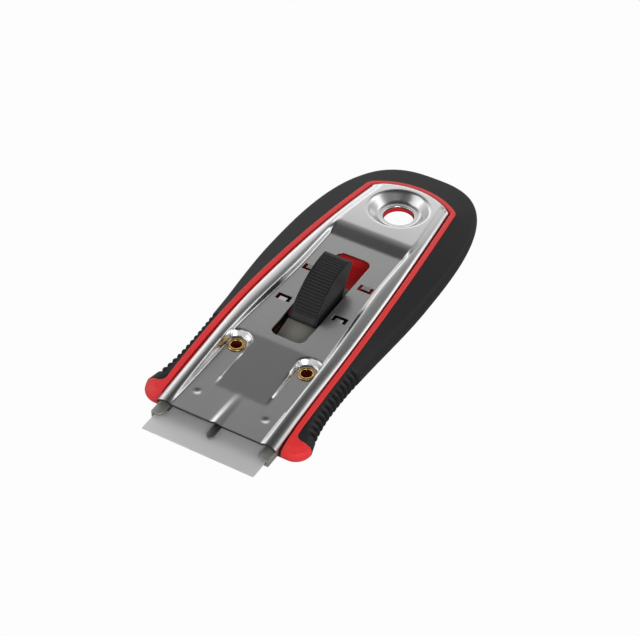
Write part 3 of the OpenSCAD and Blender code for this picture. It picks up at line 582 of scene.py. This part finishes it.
def plateSheet():
    inset = plate["edge"] + plate["rim"]
    middle = cornerPoints(inset, np.array([(quarter + cornerA) / 2]))[0]
    rearR = lip["arcR"] - inset
    ys = np.linspace(0, middle[1], 290)
    bounds = np.minimum(lipHalf(np.minimum(ys, cornerY)) - inset, np.where(ys > cornerY, middle[0], np.inf))
    feet = footX(ys) - plate["footIn"]
    flat = np.linspace(0, 1, 33)[:, None] * feet
    step = feet + np.linspace(0, 1, 8)[1:, None] * (plate["footIn"] + plate["footOut"])
    band = step[-1] + np.linspace(0, 1, 9)[1:, None] * (bounds - step[-1])
    half = np.concatenate([flat, step, band]).T
    xs = np.concatenate([-half[:, :0:-1], half], 1)
    bend = np.clip((ys - plate["slopeRear"]) / (middle[1] - plate["slopeRear"]), 0, 1)[:, None]
    atTop = xs * (middle[0] / bounds)[:, None]
    yGrid = ys[:, None] + bend ** plate["bowPower"] * (arcY + np.sqrt(rearR ** 2 - atTop ** 2) - middle[1])
    zGrid = plateHeight(xs, yGrid)
    rows, count = xs.shape
    points = np.stack([xs, yGrid, zGrid], -1).reshape(-1, 3)
    faces = loopFaces(rows, count, closed=False)

    # The loop runs up the left side, round the rear and down the right; each corner fans out over its fillet
    last = (rows - 1) * count
    fan = 6
    ring = [j * count for j in range(rows - 1)] + [last] * fan + list(range(last + 1, last + count - 1)) \
        + [last + count - 1] * fan + [j * count + count - 1 for j in range(rows - 2, -1, -1)]
    base = points[ring]
    fillet = np.linspace(quarter, cornerA, fan)
    arcs = np.arcsin(xs[-1, 1:-1] / rearR)

    def ringAt(d):
        right = np.stack([lipHalf(ys[:-1]) - d, ys[:-1]], -1)
        corner = cornerPoints(d, fillet)
        flip = np.array([-1, 1])
        return np.concatenate([right * flip, corner * flip, arcPoints(d, arcs), corner[::-1], right[::-1]])

    # The rim starts at the ridge's own slope along the sides and level round the rear
    side, corner = np.ones(rows - 1), np.linspace(0, 1, fan)
    sideShare = np.concatenate([side, corner[::-1], np.zeros(count - 2), corner, side])
    ringY = base[:, 1]
    startA = np.radians(alongRim(plate["rimStart"], ringY)) * sideShare
    rimDrop = alongRim(plate["rimDrop"], ringY)
    edgeLine = ringAt(0)
    inward = ringAt(1) - edgeLine
    rings = [ring]
    steps = list(np.linspace(0, 1, 9)[1:])
    for t in steps + [None, None]:
        a = mix(startA, quarter, 1.0 if t is None else t)
        out = (np.sin(a) - np.sin(startA)) / (1 - np.sin(startA))
        xy = edgeLine + (plate["edge"] + plate["rim"] * (1 - out))[:, None] * inward
        z = base[:, 2] - rimDrop * (np.cos(startA) - np.cos(a)) / np.cos(startA)
        if t is None:
            z = mix(z, lip["shelfZ"], 0.5 if len(rings) == len(steps) + 1 else 1.0)
        start = len(points)
        points = np.concatenate([points, np.column_stack([xy, z])])
        rings.append(list(range(start, start + len(ring))))
    for upper, lower in zip(rings, rings[1:]):
        for i in range(len(ring) - 1):
            corners = [upper[i], upper[i + 1], lower[i + 1], lower[i]]
            faces.append(tuple(dict.fromkeys(corners)))
    return makeObject("facePlate", points, faces)


def circlePoints(centre, radius, angles):
    return [(centre[0] + radius * math.cos(a), centre[1] + radius * math.sin(a)) for a in angles]


def roundedRect(width, low, high, radius):
    points = []
    for cx, cy, turn in ((1, 1, 0), (-1, 1, 1), (-1, -1, 2), (1, -1, 3)):
        centre = (cx * (width / 2 - radius), (low + high) / 2 + cy * ((high - low) / 2 - radius))
        points += circlePoints(centre, radius, np.linspace(0, quarter, 9) + turn * quarter)
    return points


def disc(centre, radius, steps=96):
    return circlePoints(centre, radius, np.linspace(0, 2 * math.pi, steps, endpoint=False))


def tabSlot(free, way, side):
    left, right = plate["tabX"]
    root = free - way * (plate["tabL"] + plate["slot"] / 2)
    tip = free + way * plate["slot"] / 2
    near = tip - way * plate["slot"]
    shape = [(left, root), (left, tip), (right, tip), (right, root), (right - plate["slot"], root),
             (right - plate["slot"], near), (left + plate["slot"], near), (left + plate["slot"], root)]
    return [(side * x, y) for x, y in (shape if way * side < 0 else shape[::-1])]


# Turned-down edge of the sheet round the hang hole
def holeHem():
    inner, outer, top = plate["hangR"], plate["hemR"], plate["ringZ"]
    radius = outer - inner
    profile = [(outer - radius * math.sin(a), top - radius * (1 - math.cos(a)))
               for a in np.linspace(0, quarter, 10)]
    foot = top - plate["hemL"]
    profile += [(inner, foot), (inner + plate["hemT"], foot), (outer, top - plate["sheet"] + weldGap)]
    hem = revolve("hem", profile, (0, plate["hangY"]), 96)
    for v in hem.data.vertices:
        v.co.z -= plate["ringTilt"] * (v.co.y - plateFront - plate["hangY"] * mm)
    return hem


def buildPlate():
    obj = plateSheet()
    thick = obj.modifiers.new("sheet", "SOLIDIFY")
    thick.thickness = plate["sheet"] * mm
    thick.offset = -1
    thick.use_even_offset = False
    applied(obj)
    outlines = [roundedRect(*plate["window"]), disc((0, plate["hangY"]), plate["hemR"] - weldGap)]
    for side in (-1, 1):
        outlines.append(disc((side * plate["eyeletX"], plate["eyeletY"]), plate["eyeletHole"], 48))
        outlines += [tabSlot(free, way, side) for free, way in zip(plate["tabY"], (1, -1))]
    cutters = [prism("cut", outline, *plate["cut"]) for outline in outlines]
    combine(obj, joined("cut", cutters), "DIFFERENCE")
    combine(obj, holeHem(), "UNION")
    dress(shaded(obj), "face_plate", "handle", "plateSteel")


buildPlate()
print("stage: face plate made")


# Grip: closed sweep round the sides and rear, with scalloped grooves down its flanks
grip = dict(ribSteps=210, plainSteps=90, filletShare=0.4, deepShare=0.8, corner=(0.36, 0.18), cornerRise=0.61,
            frontFade=4.0)


def gripStations():
    ribbed = np.linspace(handle["splitY"], ribs["first"] + ribs["count"] * ribs["pitch"], grip["ribSteps"])
    plain = np.linspace(ribbed[-1], cornerY, grip["plainSteps"])[1:]
    ys = np.concatenate([ribbed, plain])
    outer = np.stack([np.minimum(gripHalf(ys), handle["half"]), ys], -1)
    inner = np.stack([lipHalf(ys), ys], -1)
    span = handle["rear"] - handle["bellyY"]
    first = math.asin(((cornerY - handle["bellyY"]) / span) ** (handle["rearPower"] / 2))
    share, turn = np.linspace(0, 1, grip["plainSteps"])[1:], grip["filletShare"]
    a = mix(first, quarter, share)
    rear = np.stack([(handle["half"] - handle["bellyInset"]) * np.cos(a).clip(0) ** (2 / handle["rearPower"]),
                     handle["bellyY"] + span * np.sin(a) ** (2 / handle["rearPower"])], -1)
    fillet = cornerPoints(0, mix(quarter, cornerA, np.clip(share / turn, 0, 1)))
    arc = arcPoints(0, mix(cornerA, 0, np.clip((share - turn) / (1 - turn), 0, 1)))
    behind = np.where(share[:, None] < turn, fillet, arc)
    outer, inner = np.concatenate([outer, rear]), np.concatenate([inner, behind])
    flip = np.array([-1, 1])
    return np.concatenate([outer, outer[-2::-1] * flip]), np.concatenate([inner, inner[-2::-1] * flip])


def buildGrip():
    outer, inner = gripStations()
    span = np.linalg.norm(inner - outer, axis=1)
    inward = (inner - outer) / span[:, None]
    y = outer[:, 1]
    side, shoulder, top = sideZ(y), shoulderZ(y), crown(inner[:, 1]) - handle["lipRise"]
    deep = np.minimum(shoulderIn(y), grip["deepShare"] * span)
    under = np.minimum(handle["edgeRound"], span - weldGap)
    start = np.arcsin(1 - under / handle["edgeRound"])
    insets, heights, weights = [], [], []
    for t in np.linspace(0, 1, 13):
        a = mix(start, quarter, t)
        insets.append(handle["edgeRound"] * (1 - np.sin(a)))
        heights.append(side * (1 - np.cos(a)))
        weights.append(min(1.0, t * 4))
    corner = mix(*grip["corner"], ribZone(y)) * deep
    knots = [(0 * deep, side), (corner, mix(side, shoulder, grip["cornerRise"])), (deep, shoulder), (span, top)]
    for (inA, zA), (inB, zB), n in zip(knots, knots[1:], (5, 5, 9)):
        for t in np.linspace(0, 1, n + 1)[1:]:
            insets.append(mix(inA, inB, t))
            heights.append(mix(zA, zB, t))
            weights.append(1.0 if n == 5 else max(0.0, 1 - t * 5))
    insets, heights = np.array(insets), np.array(heights)
    for _ in range(3):
        insets[1:-1] = (insets[:-2] + 2 * insets[1:-1] + insets[2:]) / 4
        heights[1:-1] = (heights[:-2] + 2 * heights[1:-1] + heights[2:]) / 4
    insets = np.minimum(insets + np.array(weights)[:, None] * grooveDepth(y), span)
    xy = outer[None] + insets[..., None] * inward[None]
    ringsIn = np.concatenate([inner[None], xy])
    z = np.concatenate([heights[:1], heights])
    splitY, splitR = handle["splitY"], handle["splitR"]
    front = lip["half"] + splitR - np.abs(ringsIn[..., 0])
    bow = np.sqrt(np.clip(splitR ** 2 - np.clip(front, 0, splitR) ** 2, 0, None))
    frontY = np.where(front > 0, splitY + splitR - bow, splitY)
    fadeY = splitY + grip["frontFade"]
    share = np.clip((y[None] - splitY) / (fadeY - splitY), 0, 1)
    shifted = np.where(y[None] < fadeY, mix(frontY, fadeY, share), ringsIn[..., 1])
    obj = sweep("gripBody", np.stack([ringsIn[..., 0], shifted, z], -1).transpose(1, 0, 2))
    dress(shaded(obj, 40), "grip", "handle", "gripRubber")


buildGrip()
print("stage: grip made")

# Core: front block with its corners, the body under the plate and the lip's bead, then its slots and bores
core = dict(slotHalf=20.35, slotRear=26.9, stemHalf=6.3, lockHalf=12.43, lockFront=46.15, lockRear=83.74,
            floorZ=2.05, dishR=9.4, dishZ=4.8, hangR=5.0, webZ=3.3, flareR=9.0, seatR=2.95, seatZ=1.1, top=12.0,
            below=-2.0, beyond=40.0, blockRear=20.0, bedGap=0.03, shoulderIn=2.6, topShare=1.9,
            knots=[(0.0, 0.0), (0.18, 0.54), (1.0, 0.9), (1.9, 1.0)])


def mirroredPath(points):
    return points + [(-x, y) for x, y in points[::-1]]


def frontBlock():
    radius, low = handle["cornerR"], handle["front"]
    centre = (handle["half"] - radius, low + radius)
    rearY = handle["splitY"] + handle["splitR"]
    angles = np.linspace(quarter, math.pi, 28)
    loops = []

    def loopAt(inset, lift, rise):
        arc = [(centre[0] + (radius - inset) * math.sin(a), centre[1] + (radius - inset) * math.cos(a))
               for a in angles]
        side = [(handle["half"] - inset, y) for y in np.linspace(rearY, centre[1], 7)[:-1]]
        edge = [(x, low + inset) for x in np.linspace(centre[0], 0, 12)[1:-1]]
        loops.append([(x, y, mix(lift * float(sideZ(y)), float(crown(y)) - handle["lipRise"], rise))
                      for x, y in mirroredPath(side + arc + edge)])

    for a in np.linspace(0, quarter, 12):
        loopAt(handle["edgeRound"] * (1 - math.sin(a)), 1 - math.cos(a), 0)
    for share in np.linspace(0, core["topShare"], 20)[1:]:
        loopAt(share * core["shoulderIn"], 1, float(np.interp(share, *zip(*core["knots"]))))
    count = len(loops[0])
    points = [p for loop in loops for p in loop]
    faces = loopFaces(len(loops), count)
    half = count // 2
    for first, flip in ((0, False), ((len(loops) - 1) * count, True)):
        for i in range(half - 1):
            strip = (first + i, first + i + 1, first + count - 2 - i, first + count - 1 - i)
            faces.append(strip[::-1] if flip else strip)
    obj = makeObject("coreBody", points, faces)
    faceOutward(obj)
    splitR = handle["splitR"]
    curve = [(lip["half"] + splitR * (1 - math.cos(a)), rearY - splitR * math.sin(a))
             for a in np.linspace(0, quarter, 12)]
    beyond, rear = core["beyond"], core["blockRear"]
    waste = curve + [(beyond, handle["splitY"]), (beyond, rear), (lip["half"], rear)]
    for side in (1, -1):
        cut = prism("cut", [(side * x, y) for x, y in waste], core["below"], core["top"])
        combine(obj, cut, "DIFFERENCE")
    bed = lip["half"] - lip["thick"] + core["bedGap"]
    cut = prism("cut", [(-bed, 0), (bed, 0), (bed, rear), (-bed, rear)], lip["shelfZ"], core["top"])
    return combine(obj, cut, "DIFFERENCE")


def lipOutline(d, first):
    ys = np.concatenate([np.linspace(first, 12, 14), np.linspace(12, cornerY, 80)[1:]])
    side = np.stack([lipHalf(ys) - d, ys], -1)
    fillet = cornerPoints(d, np.linspace(quarter, cornerA, 14)[1:])
    arc = arcPoints(d, np.linspace(cornerA, 0, 24)[1:])
    half = np.concatenate([side, fillet, arc])
    return np.concatenate([half, half[-2::-1] * np.array([-1, 1])])


def lipBead():
    section = [(0.0, -lip["beadL"])] + [(lip["bead"] * (1 - math.cos(a)), -lip["bead"] * (1 - math.sin(a)))
                                        for a in np.linspace(0, quarter, 8)]
    section += [(lip["thick"] - d, z) for d, z in section[::-1]]
    rings = []
    for d, down in section:
        xy = lipOutline(d + lip["beadGap"], lip["beadFront"])
        sink = lip["beadSink"] * (1 - smooth((xy[:, 1] - lip["beadFront"]) / lip["sinkL"]))
        rings.append(np.column_stack([xy, crown(xy[:, 1]) - sink + down]))
    return sweep("lipBead", np.array(rings).transpose(1, 0, 2))


def buildCore():
    obj = frontBlock()
    combine(obj, prism("body", lipOutline(0, handle["splitY"] + 1), 0.0, lip["shelfZ"]), "UNION")
    combine(obj, lipBead(), "UNION")
    stops = [("slotHalf", "below"), ("slotHalf", "slotRear"), ("stemHalf", "slotRear"),
             ("stemHalf", "lockFront"), ("lockHalf", "lockFront"), ("lockHalf", "lockRear")]
    room = [(core[half], core[stop]) for half, stop in stops]
    combine(obj, prism("cut", mirroredPath(room), core["floorZ"], core["top"]), "DIFFERENCE")
    below, top = core["below"], core["top"]
    hang = [(0.0, below), (core["flareR"], below), (core["flareR"], 0.0), (core["hangR"], core["webZ"]),
            (core["hangR"], core["dishZ"]), (core["dishR"], core["dishZ"]), (core["dishR"], top), (0.0, top)]
    combine(obj, revolve("cut", hang, (0, plate["hangY"]), 96), "DIFFERENCE")
    bore = plate["eyeletHole"]
    for side in (-1, 1):
        seat = [(0.0, below), (core["seatR"], below), (core["seatR"], core["seatZ"]), (bore, core["seatZ"]),
                (bore, top), (0.0, top)]
        combine(obj, revolve("cut", seat, (side * plate["eyeletX"], plate["eyeletY"]), 48), "DIFFERENCE")
    dress(shaded(obj, 35), "handle_core", "handle", "redPlastic")


buildCore()
print("stage: core made")


# Eyelets: a tube with a rolled rim at each end
def buildEyelet(node, side):
    bore, wall, roll = 1.75, 0.3, 0.25
    topZ, footZ = plate["panelZ"] + 2 * roll, 0.6
    middle = bore + wall + roll
    profile = [(bore, 3.0)]
    profile += [(middle + (middle - bore) * -math.cos(a), topZ - roll + roll * math.sin(a))
                for a in np.linspace(0, math.pi, 14)]
    profile += [(bore + wall, topZ - 2 * roll), (bore + wall, footZ + 2 * roll)]
    profile += [(middle + (middle - bore) * math.cos(a), footZ + roll - roll * math.sin(a))
                for a in np.linspace(0, math.pi, 14)]
    obj = revolve("eyeletLeft" if side < 0 else "eyeletRight", profile,
                  (side * plate["eyeletX"], plate["eyeletY"]), 64)
    dress(shaded(obj, 40), node, "handle", "brass")


buildEyelet("eyelet_left", -1)
buildEyelet("eyelet_right", 1)


# Pieces that keep the CAD's form, with their edges rounded
def dressCopy(node, name, body, slot, look, width, angle):
    obj = inScene(name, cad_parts[node].data.copy())
    with editing(obj) as bm:
        bmesh.ops.remove_doubles(bm, verts=bm.verts, dist=1e-6)
        bmesh.ops.dissolve_limit(bm, angle_limit=math.radians(1), verts=bm.verts, edges=bm.edges)
    softened(obj, width, 2, angle)
    dress(shaded(obj, 38), node, body, look)


copies = [
    ("blade_carrier", "bladeCarrier", "carriage", "carrier_steel", "carrierSteel", 0.12, 35),
    ("blade_clip", "bladeClip", "carriage", "spring_steel", "springSteel", 0.1, 35),
    ("clip_rivet", "clipRivet", "carriage", "carrier_steel", "carrierSteel", 0.1, 25),
    ("leaf_spring", "leafSpring", "latch", "spring_steel", "leafSteel", 0.15, 12),
    ("carrier_rivet_front", "carrierRivetFront", "latch", "carrier_steel", "carrierSteel", 0.1, 25),
    ("carrier_rivet_rear", "carrierRivetRear", "latch", "carrier_steel", "carrierSteel", 0.1, 25),
    ("lock_plate", "lockPlate", "latch", "carrier_steel", "lockSteel", 0.12, 35),
    ("blade", "bladeSheet", "blade", "blade_steel", "bladeSteel", 0.03, 35),
    ("blade_spine", "bladeSpine", "blade", "spine_steel", "spineSteel", 0.08, 35),
]
for settings in copies:
    dressCopy(*settings)
print("stage: carriage and blade made")

# Thumb button: a wedge under a curved top, with ribs across it between two raised borders
button = dict(front=48.6, rear=64.8, topRear=71.5, top=18.1, base=6.85, skirt=1.2, noseL=1.3, noseZ=9.3,
              cornerR=2.4, bulge=2.6, widthLow=10.0, widthHigh=9.0, waist=0.25, border=0.7, ribPitch=0.99,
              ribR=0.4, ribSink=0.44, recess=0.6, recessIn=0.245, recessEnd=0.1, cornerIn=1.5, soften=0.6,
              toothIn=0.25, toothR=0.3, toothPitch=0.85, toothSide=1.1, toothOut=0.02, toothGap=0.3, postR=1.2,
              headR=1.9, headH=0.5, postIn=0.5, postY=(57.5, 63.0), lockGap=0.7, lockT=0.7)


# Start, chord, length and outward direction of the top's curve, as (y, z)
topStart = np.array([button["front"] + button["noseL"], button["noseZ"]])
topChord = np.array([button["topRear"] - button["cornerR"], button["top"]]) - topStart
topRun = np.linalg.norm(topChord)
topOut = np.array([-topChord[1], topChord[0]]) / topRun


def alongTop(t):
    return topStart + t * topChord + 4 * button["bulge"] * t * (1 - t) * topOut


def buttonHalf(z):
    t = np.clip((z - button["base"]) / (button["top"] - button["base"]), 0, 1)
    return mix(button["widthLow"], button["widthHigh"], t) / 2 - 4 * button["waist"] * t * (1 - t)


# Bars set along a curve that starts, bends towards a middle point and ends
def barGroup():
    group = bpy.data.node_groups.new("barRow", "GeometryNodeTree")
    identifiers = {}
    for label, kind in (("Start", "Vector"), ("Middle", "Vector"), ("End", "Vector"), ("Turn", "Vector"),
                        ("Count", "Int"), ("Radius", "Float"), ("Length", "Float"), ("Material", "Material")):
        socket = group.interface.new_socket(label, in_out="INPUT", socket_type="NodeSocket" + kind)
        identifiers[label] = socket.identifier
    group.interface.new_socket("Geometry", in_out="OUTPUT", socket_type="NodeSocketGeometry")
    start, end = addNode(group, "NodeGroupInput"), addNode(group, "NodeGroupOutput")
    curve = addNode(group, "GeometryNodeCurveQuadraticBezier", [("Resolution", 32)])
    spread = addNode(group, "GeometryNodeCurveToPoints", mode="COUNT")
    bar = addNode(group, "GeometryNodeMeshCylinder", [("Vertices", 20), ("Side Segments", 1)])
    turned = addNode(group, "GeometryNodeTransform")
    placed = addNode(group, "GeometryNodeInstanceOnPoints")
    real = addNode(group, "GeometryNodeRealizeInstances")
    smoothed = addNode(group, "GeometryNodeSetShadeSmooth")
    painted = addNode(group, "GeometryNodeSetMaterial")
    for label in ("Start", "Middle", "End"):
        wire(group, (start, label, curve, label))
    wire(group, (curve, 0, spread, "Curve"), (start, "Count", spread, "Count"),
         (start, "Radius", bar, "Radius"), (start, "Length", bar, "Depth"), (bar, "Mesh", turned, "Geometry"),
         (start, "Turn", turned, "Rotation"), (spread, "Points", placed, "Points"),
         (turned, 0, placed, "Instance"), (placed, 0, real, 0), (real, 0, smoothed, 0),
         (smoothed, 0, painted, "Geometry"), (start, "Material", painted, "Material"), (painted, 0, end, 0))
    return group, identifiers


barRow = barGroup()


# Row of bars as an object of its own; points in millimetres
def barObject(name, points, turn, pitch, radius, length):
    start, middle, end = [np.array([x * mm, y * mm + plateFront, z * mm]) for x, y, z in points]
    count = round(float(np.linalg.norm(end - start)) / (pitch * mm)) + 1
    values = dict(Start=start, Middle=middle, End=end, Turn=turn, Count=count, Radius=radius * mm,
                  Length=length * mm, Material=materials["buttonPlastic"])
    holder = inScene(name, bpy.data.meshes.new(name))
    step = holder.modifiers.new("bars", "NODES")
    step.node_group = barRow[0]
    for label, value in values.items():
        step[barRow[1][label]] = value
    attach(shaded(applied(holder), 50), "latch")


def buttonRibs():
    ends = [button["border"] / topRun, 1 - 0.5 * button["border"] / topRun]
    first, middle, last = [alongTop(t) - button["ribSink"] * topOut for t in (ends[0], sum(ends) / 2, ends[1])]
    points = [(0, y, z) for y, z in (first, 2 * middle - (first + last) / 2, last)]
    barObject("buttonRibs", points, (0, quarter, 0), button["ribPitch"], button["ribR"],
              button["widthHigh"] - 2 * button["border"])
    half, high = button["widthLow"] / 2 - button["toothSide"], button["base"] + button["skirt"] / 2
    row = [(x, button["front"] + button["toothR"] + button["toothOut"], high) for x in (-half, 0, half)]
    barObject("buttonTeeth", row, (0, 0, 0), button["toothPitch"], button["toothR"],
              button["skirt"] - button["toothGap"])


def buildButton():
    base, skirt, corner = button["base"], button["base"] + button["skirt"], button["cornerR"]
    foot, half = button["front"] + button["toothIn"], button["widthLow"] / 2
    side = [(foot, base), (foot, skirt)] + [tuple(alongTop(t)) for t in np.linspace(0, 1, 28)]
    turn = len(side) - 1
    side += [(button["topRear"] - corner + corner * math.sin(a), button["top"] - corner + corner * math.cos(a))
             for a in np.linspace(0, quarter, 8)[1:]]
    side += [(button["rear"], skirt), (button["rear"], base)]
    n = len(side)
    points = [(x, y, z) for x in (-half, half) for y, z in side]
    obj = makeObject("thumbButton", points, loopFaces(2, n) + [tuple(range(n)), tuple(range(n, 2 * n))[::-1]])
    with editing(obj) as bm:
        rear = [e for e in bm.edges
                if all(v.index % n >= turn for v in e.verts) and e.verts[0].co.x == e.verts[1].co.x]
        bmesh.ops.bevel(bm, geom=rear, offset=button["cornerIn"] * mm, offset_type="OFFSET", segments=6,
                        profile=0.5, affect="EDGES", clamp_overlap=True)
        for z in np.linspace(base, button["top"], 12)[1:-1]:
            everything = bm.verts[:] + bm.edges[:] + bm.faces[:]
            bmesh.ops.bisect_plane(bm, geom=everything, plane_co=(0, 0, z * mm), plane_no=(0, 0, 1))
        for v in bm.verts:
            v.co.x *= float(buttonHalf(v.co.z / mm)) / half
        bmesh.ops.recalc_face_normals(bm, faces=bm.faces)
    softened(obj, button["soften"], 4, 40)
    sinkRecess(obj)
    stripZ = base - button["lockGap"] - button["lockT"]
    low, high = stripZ - button["headH"], base + button["postIn"]
    for y in button["postY"]:
        post = [(0.0, low), (button["headR"], low), (button["headR"], stripZ), (button["postR"], stripZ),
                (button["postR"], high), (0.0, high)]
        combine(obj, revolve("post", post, (0, y), 40), "UNION")
    buttonRibs()
    dress(shaded(obj, 40), "thumb_button", "latch", "buttonPlastic")


# Shallow panel sunk into the top between the borders
def sinkRecess(obj):
    first, last = button["recessIn"] / topRun, 1 - button["recessEnd"] / topRun
    curve = [alongTop(t) for t in np.linspace(first, last, 26)]
    side = [p - button["recess"] * topOut for p in curve] + [p + 2 * topOut for p in curve[::-1]]
    half = button["widthHigh"] / 2 - button["border"]
    combine(obj, prism("cut", side, -half, half, 0), "DIFFERENCE")


buildButton()
print("stage: button made")

# Floor, light and camera
studio = dict(floor=2.4, floorDrop=0.0002, floorColor=0.56, floorGlow=0.97, target=(3.816, 53.0, 7.62),
              distance=649.67, back=(0.37222, -0.62911, 0.68240), lens=120.34,
              sky=[(0.0, 0.5), (0.16, 0.6), (0.33, 0.92), (0.46, 0.98), (0.575, 0.95), (0.655, 0.23),
                   (0.8, 0.2), (0.87, 0.05)])
lamps = [
    dict(name="backLow", at=(-0.62, 0.72, 0.3), size=(0.9, 0.3), power=0.7),
    dict(name="rightBack", at=(0.5, 0.65, 0.57), size=(0.6, 0.5), power=0.85),
    dict(name="key", at=(0.7, -0.7, 0.58), size=(0.6, 0.6), power=6.0),
    dict(name="fill", at=(-0.75, -0.3, 0.85), size=(0.7, 0.7), power=1.6),
]


def buildFloor():
    half = studio["floor"] / 2
    mesh = bpy.data.meshes.new("floor")
    corners = [(-half, -half, 0), (half, -half, 0), (half, half, 0), (-half, half, 0)]
    mesh.from_pydata(corners, [], [(0, 1, 2, 3)])
    floor = inScene("floor", mesh)
    floor.location.z = -studio["floorDrop"]
    material = bpy.data.materials.new("paleFloor")
    tree = emptyTree(material)
    out = addNode(tree, "ShaderNodeOutputMaterial")
    tone = studio["floorColor"]
    matt = addNode(tree, "ShaderNodeBsdfDiffuse", [("Color", (tone, tone, tone, 1))])
    glow = addNode(tree, "ShaderNodeEmission", [("Strength", 1.0)])
    path = addNode(tree, "ShaderNodeLightPath")
    share = mathNode(tree, "MULTIPLY", [(1, studio["floorGlow"])])
    blend = addNode(tree, "ShaderNodeMixShader")
    wire(tree, (path, "Is Camera Ray", share, 0), (share, 0, blend, "Fac"), (matt, 0, blend, 1),
         (glow, 0, blend, 2), (blend, 0, out, "Surface"))
    mesh.materials.append(material)


def buildWorld():
    world = bpy.data.worlds.new("studio")
    bpy.context.scene.world = world
    tree = emptyTree(world)
    out = addNode(tree, "ShaderNodeOutputWorld")
    place = addNode(tree, "ShaderNodeTexCoord")
    split = addNode(tree, "ShaderNodeSeparateXYZ")
    ramp = addNode(tree, "ShaderNodeValToRGB")
    while len(ramp.color_ramp.elements) < len(studio["sky"]):
        ramp.color_ramp.elements.new(0.5)
    for element, (at, tone) in zip(ramp.color_ramp.elements, studio["sky"]):
        element.position = at
        element.color = (tone, tone, tone, 1)
    studioLight = addNode(tree, "ShaderNodeBackground", [("Strength", 1.0)])
    plain = addNode(tree, "ShaderNodeBackground", [("Color", (1, 1, 1, 1)), ("Strength", 1.0)])
    path = addNode(tree, "ShaderNodeLightPath")
    blend = addNode(tree, "ShaderNodeMixShader")
    wire(tree, (place, "Generated", split, 0), (split, "Z", ramp, "Fac"),
         (ramp, "Color", studioLight, "Color"), (path, "Is Camera Ray", blend, "Fac"),
         (studioLight, 0, blend, 1), (plain, 0, blend, 2), (blend, 0, out, "Surface"))


def aim(obj, target):
    obj.rotation_mode = "QUATERNION"
    obj.rotation_quaternion = (Vector(target) - obj.location).to_track_quat("-Z", "Y")


def buildLamps():
    for lamp in lamps:
        light = bpy.data.lights.new(lamp["name"], "AREA")
        light.shape = "RECTANGLE"
        light.size, light.size_y = lamp["size"]
        light.energy = lamp["power"]
        obj = inScene(lamp["name"], light)
        obj.location = lamp["at"]
        aim(obj, (0, 0, 0))


def buildCamera():
    camera = inScene("camera", bpy.data.cameras.new("camera"))
    camera.data.lens = studio["lens"]
    camera.data.sensor_width = 36.0
    camera.data.clip_start, camera.data.clip_end = 0.05, 20.0
    target = Vector(studio["target"]) * mm + Vector((0, plateFront, 0))
    camera.location = target + Vector(studio["back"]).normalized() * studio["distance"] * mm
    aim(camera, target)
    bpy.context.scene.camera = camera


buildFloor()
buildWorld()
buildLamps()
buildCamera()
bpy.context.scene.view_settings.view_transform = "Standard"
print("stage: studio made")
